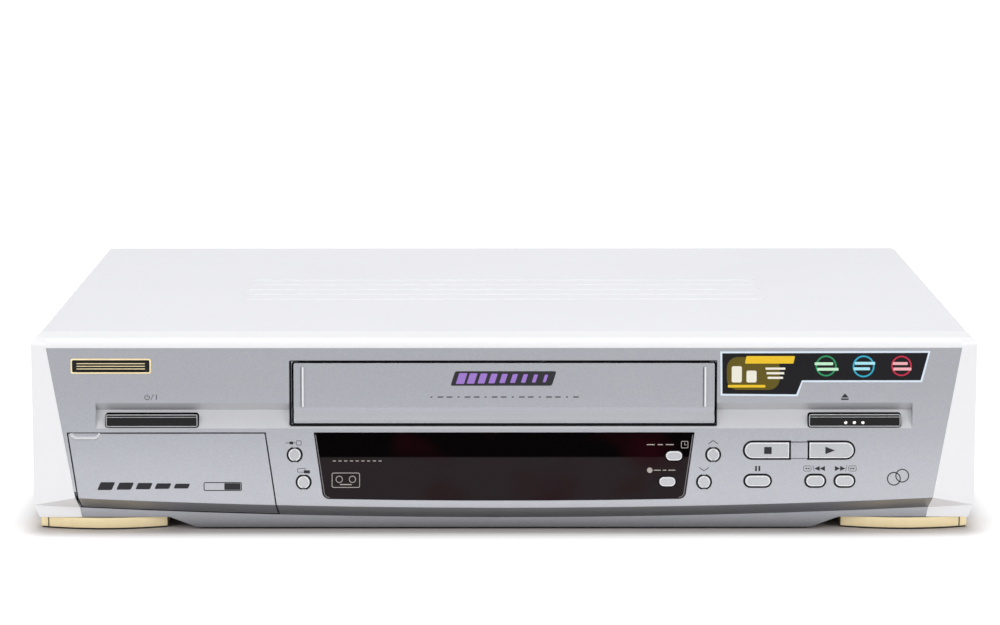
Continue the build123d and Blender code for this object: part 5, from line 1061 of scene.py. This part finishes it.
def softBox(name, place, target, size, power):
    # a rectangular lamp that looks at its target
    lamp = bpy.data.lights.new(name, "AREA")
    lamp.shape, lamp.size, lamp.size_y, lamp.energy = "RECTANGLE", size[0], size[1], power
    holder = bpy.data.objects.new(name, lamp)
    holder.location = place
    holder.rotation_euler = (Vector(target) - Vector(place)).to_track_quat("-Z", "Y").to_euler()
    bpy.context.scene.collection.objects.link(holder)


lamps = {  # place, target, size in metres, and power in watts
    "overhead": ((0.0, -0.08, 1.75), (0, -0.08, 0), (1.0, 0.7), 11.3),
    "left": ((-2.0, -1.7, 1.1), (0, 0, 0.05), (1.2, 1.2), 24.0),
    "right": ((2.0, -1.7, 1.1), (0, 0, 0.05), (1.2, 1.2), 24.0),
}
for name, setting in lamps.items():
    softBox(name, *setting)

studio = {"light": (0.96, 0.97, 1.0, 1), "strength": 0.4, "seen": (1, 1, 1, 1)}
world = bpy.data.worlds.new("studio")
world.use_nodes = True
bpy.context.scene.world = world
sky = world.node_tree
sky.nodes["Background"].inputs["Color"].default_value = studio["light"]
sky.nodes["Background"].inputs["Strength"].default_value = studio["strength"]


def seenRays(tree):
    # 1 for what the camera sees, straight or by a mirror or a glass, and 0 for what lights the object
    rays = tree.nodes.new("ShaderNodeLightPath")
    first = maths(tree, "MAXIMUM", rays.outputs["Is Camera Ray"], rays.outputs["Is Glossy Ray"])
    return maths(tree, "MAXIMUM", first, rays.outputs["Is Transmission Ray"])


plain = sky.nodes.new("ShaderNodeBackground")
plain.inputs["Color"].default_value = studio["seen"]
choose = sky.nodes.new("ShaderNodeMixShader")
sky.links.new(seenRays(sky), choose.inputs[0])
sky.links.new(sky.nodes["Background"].outputs[0], choose.inputs[1])
sky.links.new(plain.outputs[0], choose.inputs[2])
sky.links.new(choose.outputs[0], sky.nodes["World Output"].inputs["Surface"])


def makeFloor():
    # pale paper; what the camera sees of it lightens to the background's white away from the object
    look = {
        "half": 6.0, "drop": 0.0001, "albedo": (0.86, 0.845, 0.835), "footprint": (0.205, 0.146, 0.0),
        "near": 0.0, "far": 1.0, "from": 0.008, "to": 0.055, "contactShadow": (0.57, 0.525, 0.51), "shadowReach": 0.016,
    }
    mesh = bpy.data.meshes.new("floor")
    h, z = look["half"], -look["drop"]
    mesh.from_pydata([(-h, -h, z), (h, -h, z), (h, h, z), (-h, h, z)], [], [(0, 1, 2, 3)])
    floor = bpy.data.objects.new("floor", mesh)
    bpy.context.scene.collection.objects.link(floor)
    material, tree, shader, place = finish("floorPaper", look["albedo"], 0.8, 0.0, 0.2)
    # how far a point lies outside the footprint: |x| and |y| less its half sizes, none under 0
    steps = [tree.nodes.new("ShaderNodeVectorMath") for k in range(4)]
    for step, operation in zip(steps, ("ABSOLUTE", "SUBTRACT", "MAXIMUM", "LENGTH")):
        step.operation = operation
    steps[1].inputs[1].default_value = look["footprint"]
    steps[2].inputs[1].default_value = (0.0, 0.0, 0.0)
    for step, source in zip(steps, (place, *[step.outputs["Vector"] for step in steps[:3]])):
        tree.links.new(source, step.inputs[0])
    away = steps[3]
    glow = remap(tree, away.outputs["Value"], look["from"], look["to"], look["near"], look["far"])
    shader.inputs["Emission Color"].default_value = (1, 1, 1, 1)
    tree.links.new(maths(tree, "MULTIPLY", seenRays(tree), glow), shader.inputs["Emission Strength"])
    # painted contact shadow: beside the foot the paper is a little browner and darker
    contactShadow = remap(tree, away.outputs["Value"], 0.0, look["shadowReach"], 1.0, 0.0)
    tree.links.new(mixed(tree, contactShadow, look["albedo"], look["contactShadow"]), shader.inputs["Base Color"])
    relief(tree, shader, noise(tree, place, 900.0, 2.0), 0.00002, 0.3)
    mesh.materials.append(material)


makeFloor()
bpy.context.scene.view_settings.view_transform = "Standard"
print("camera, lights and floor ready")
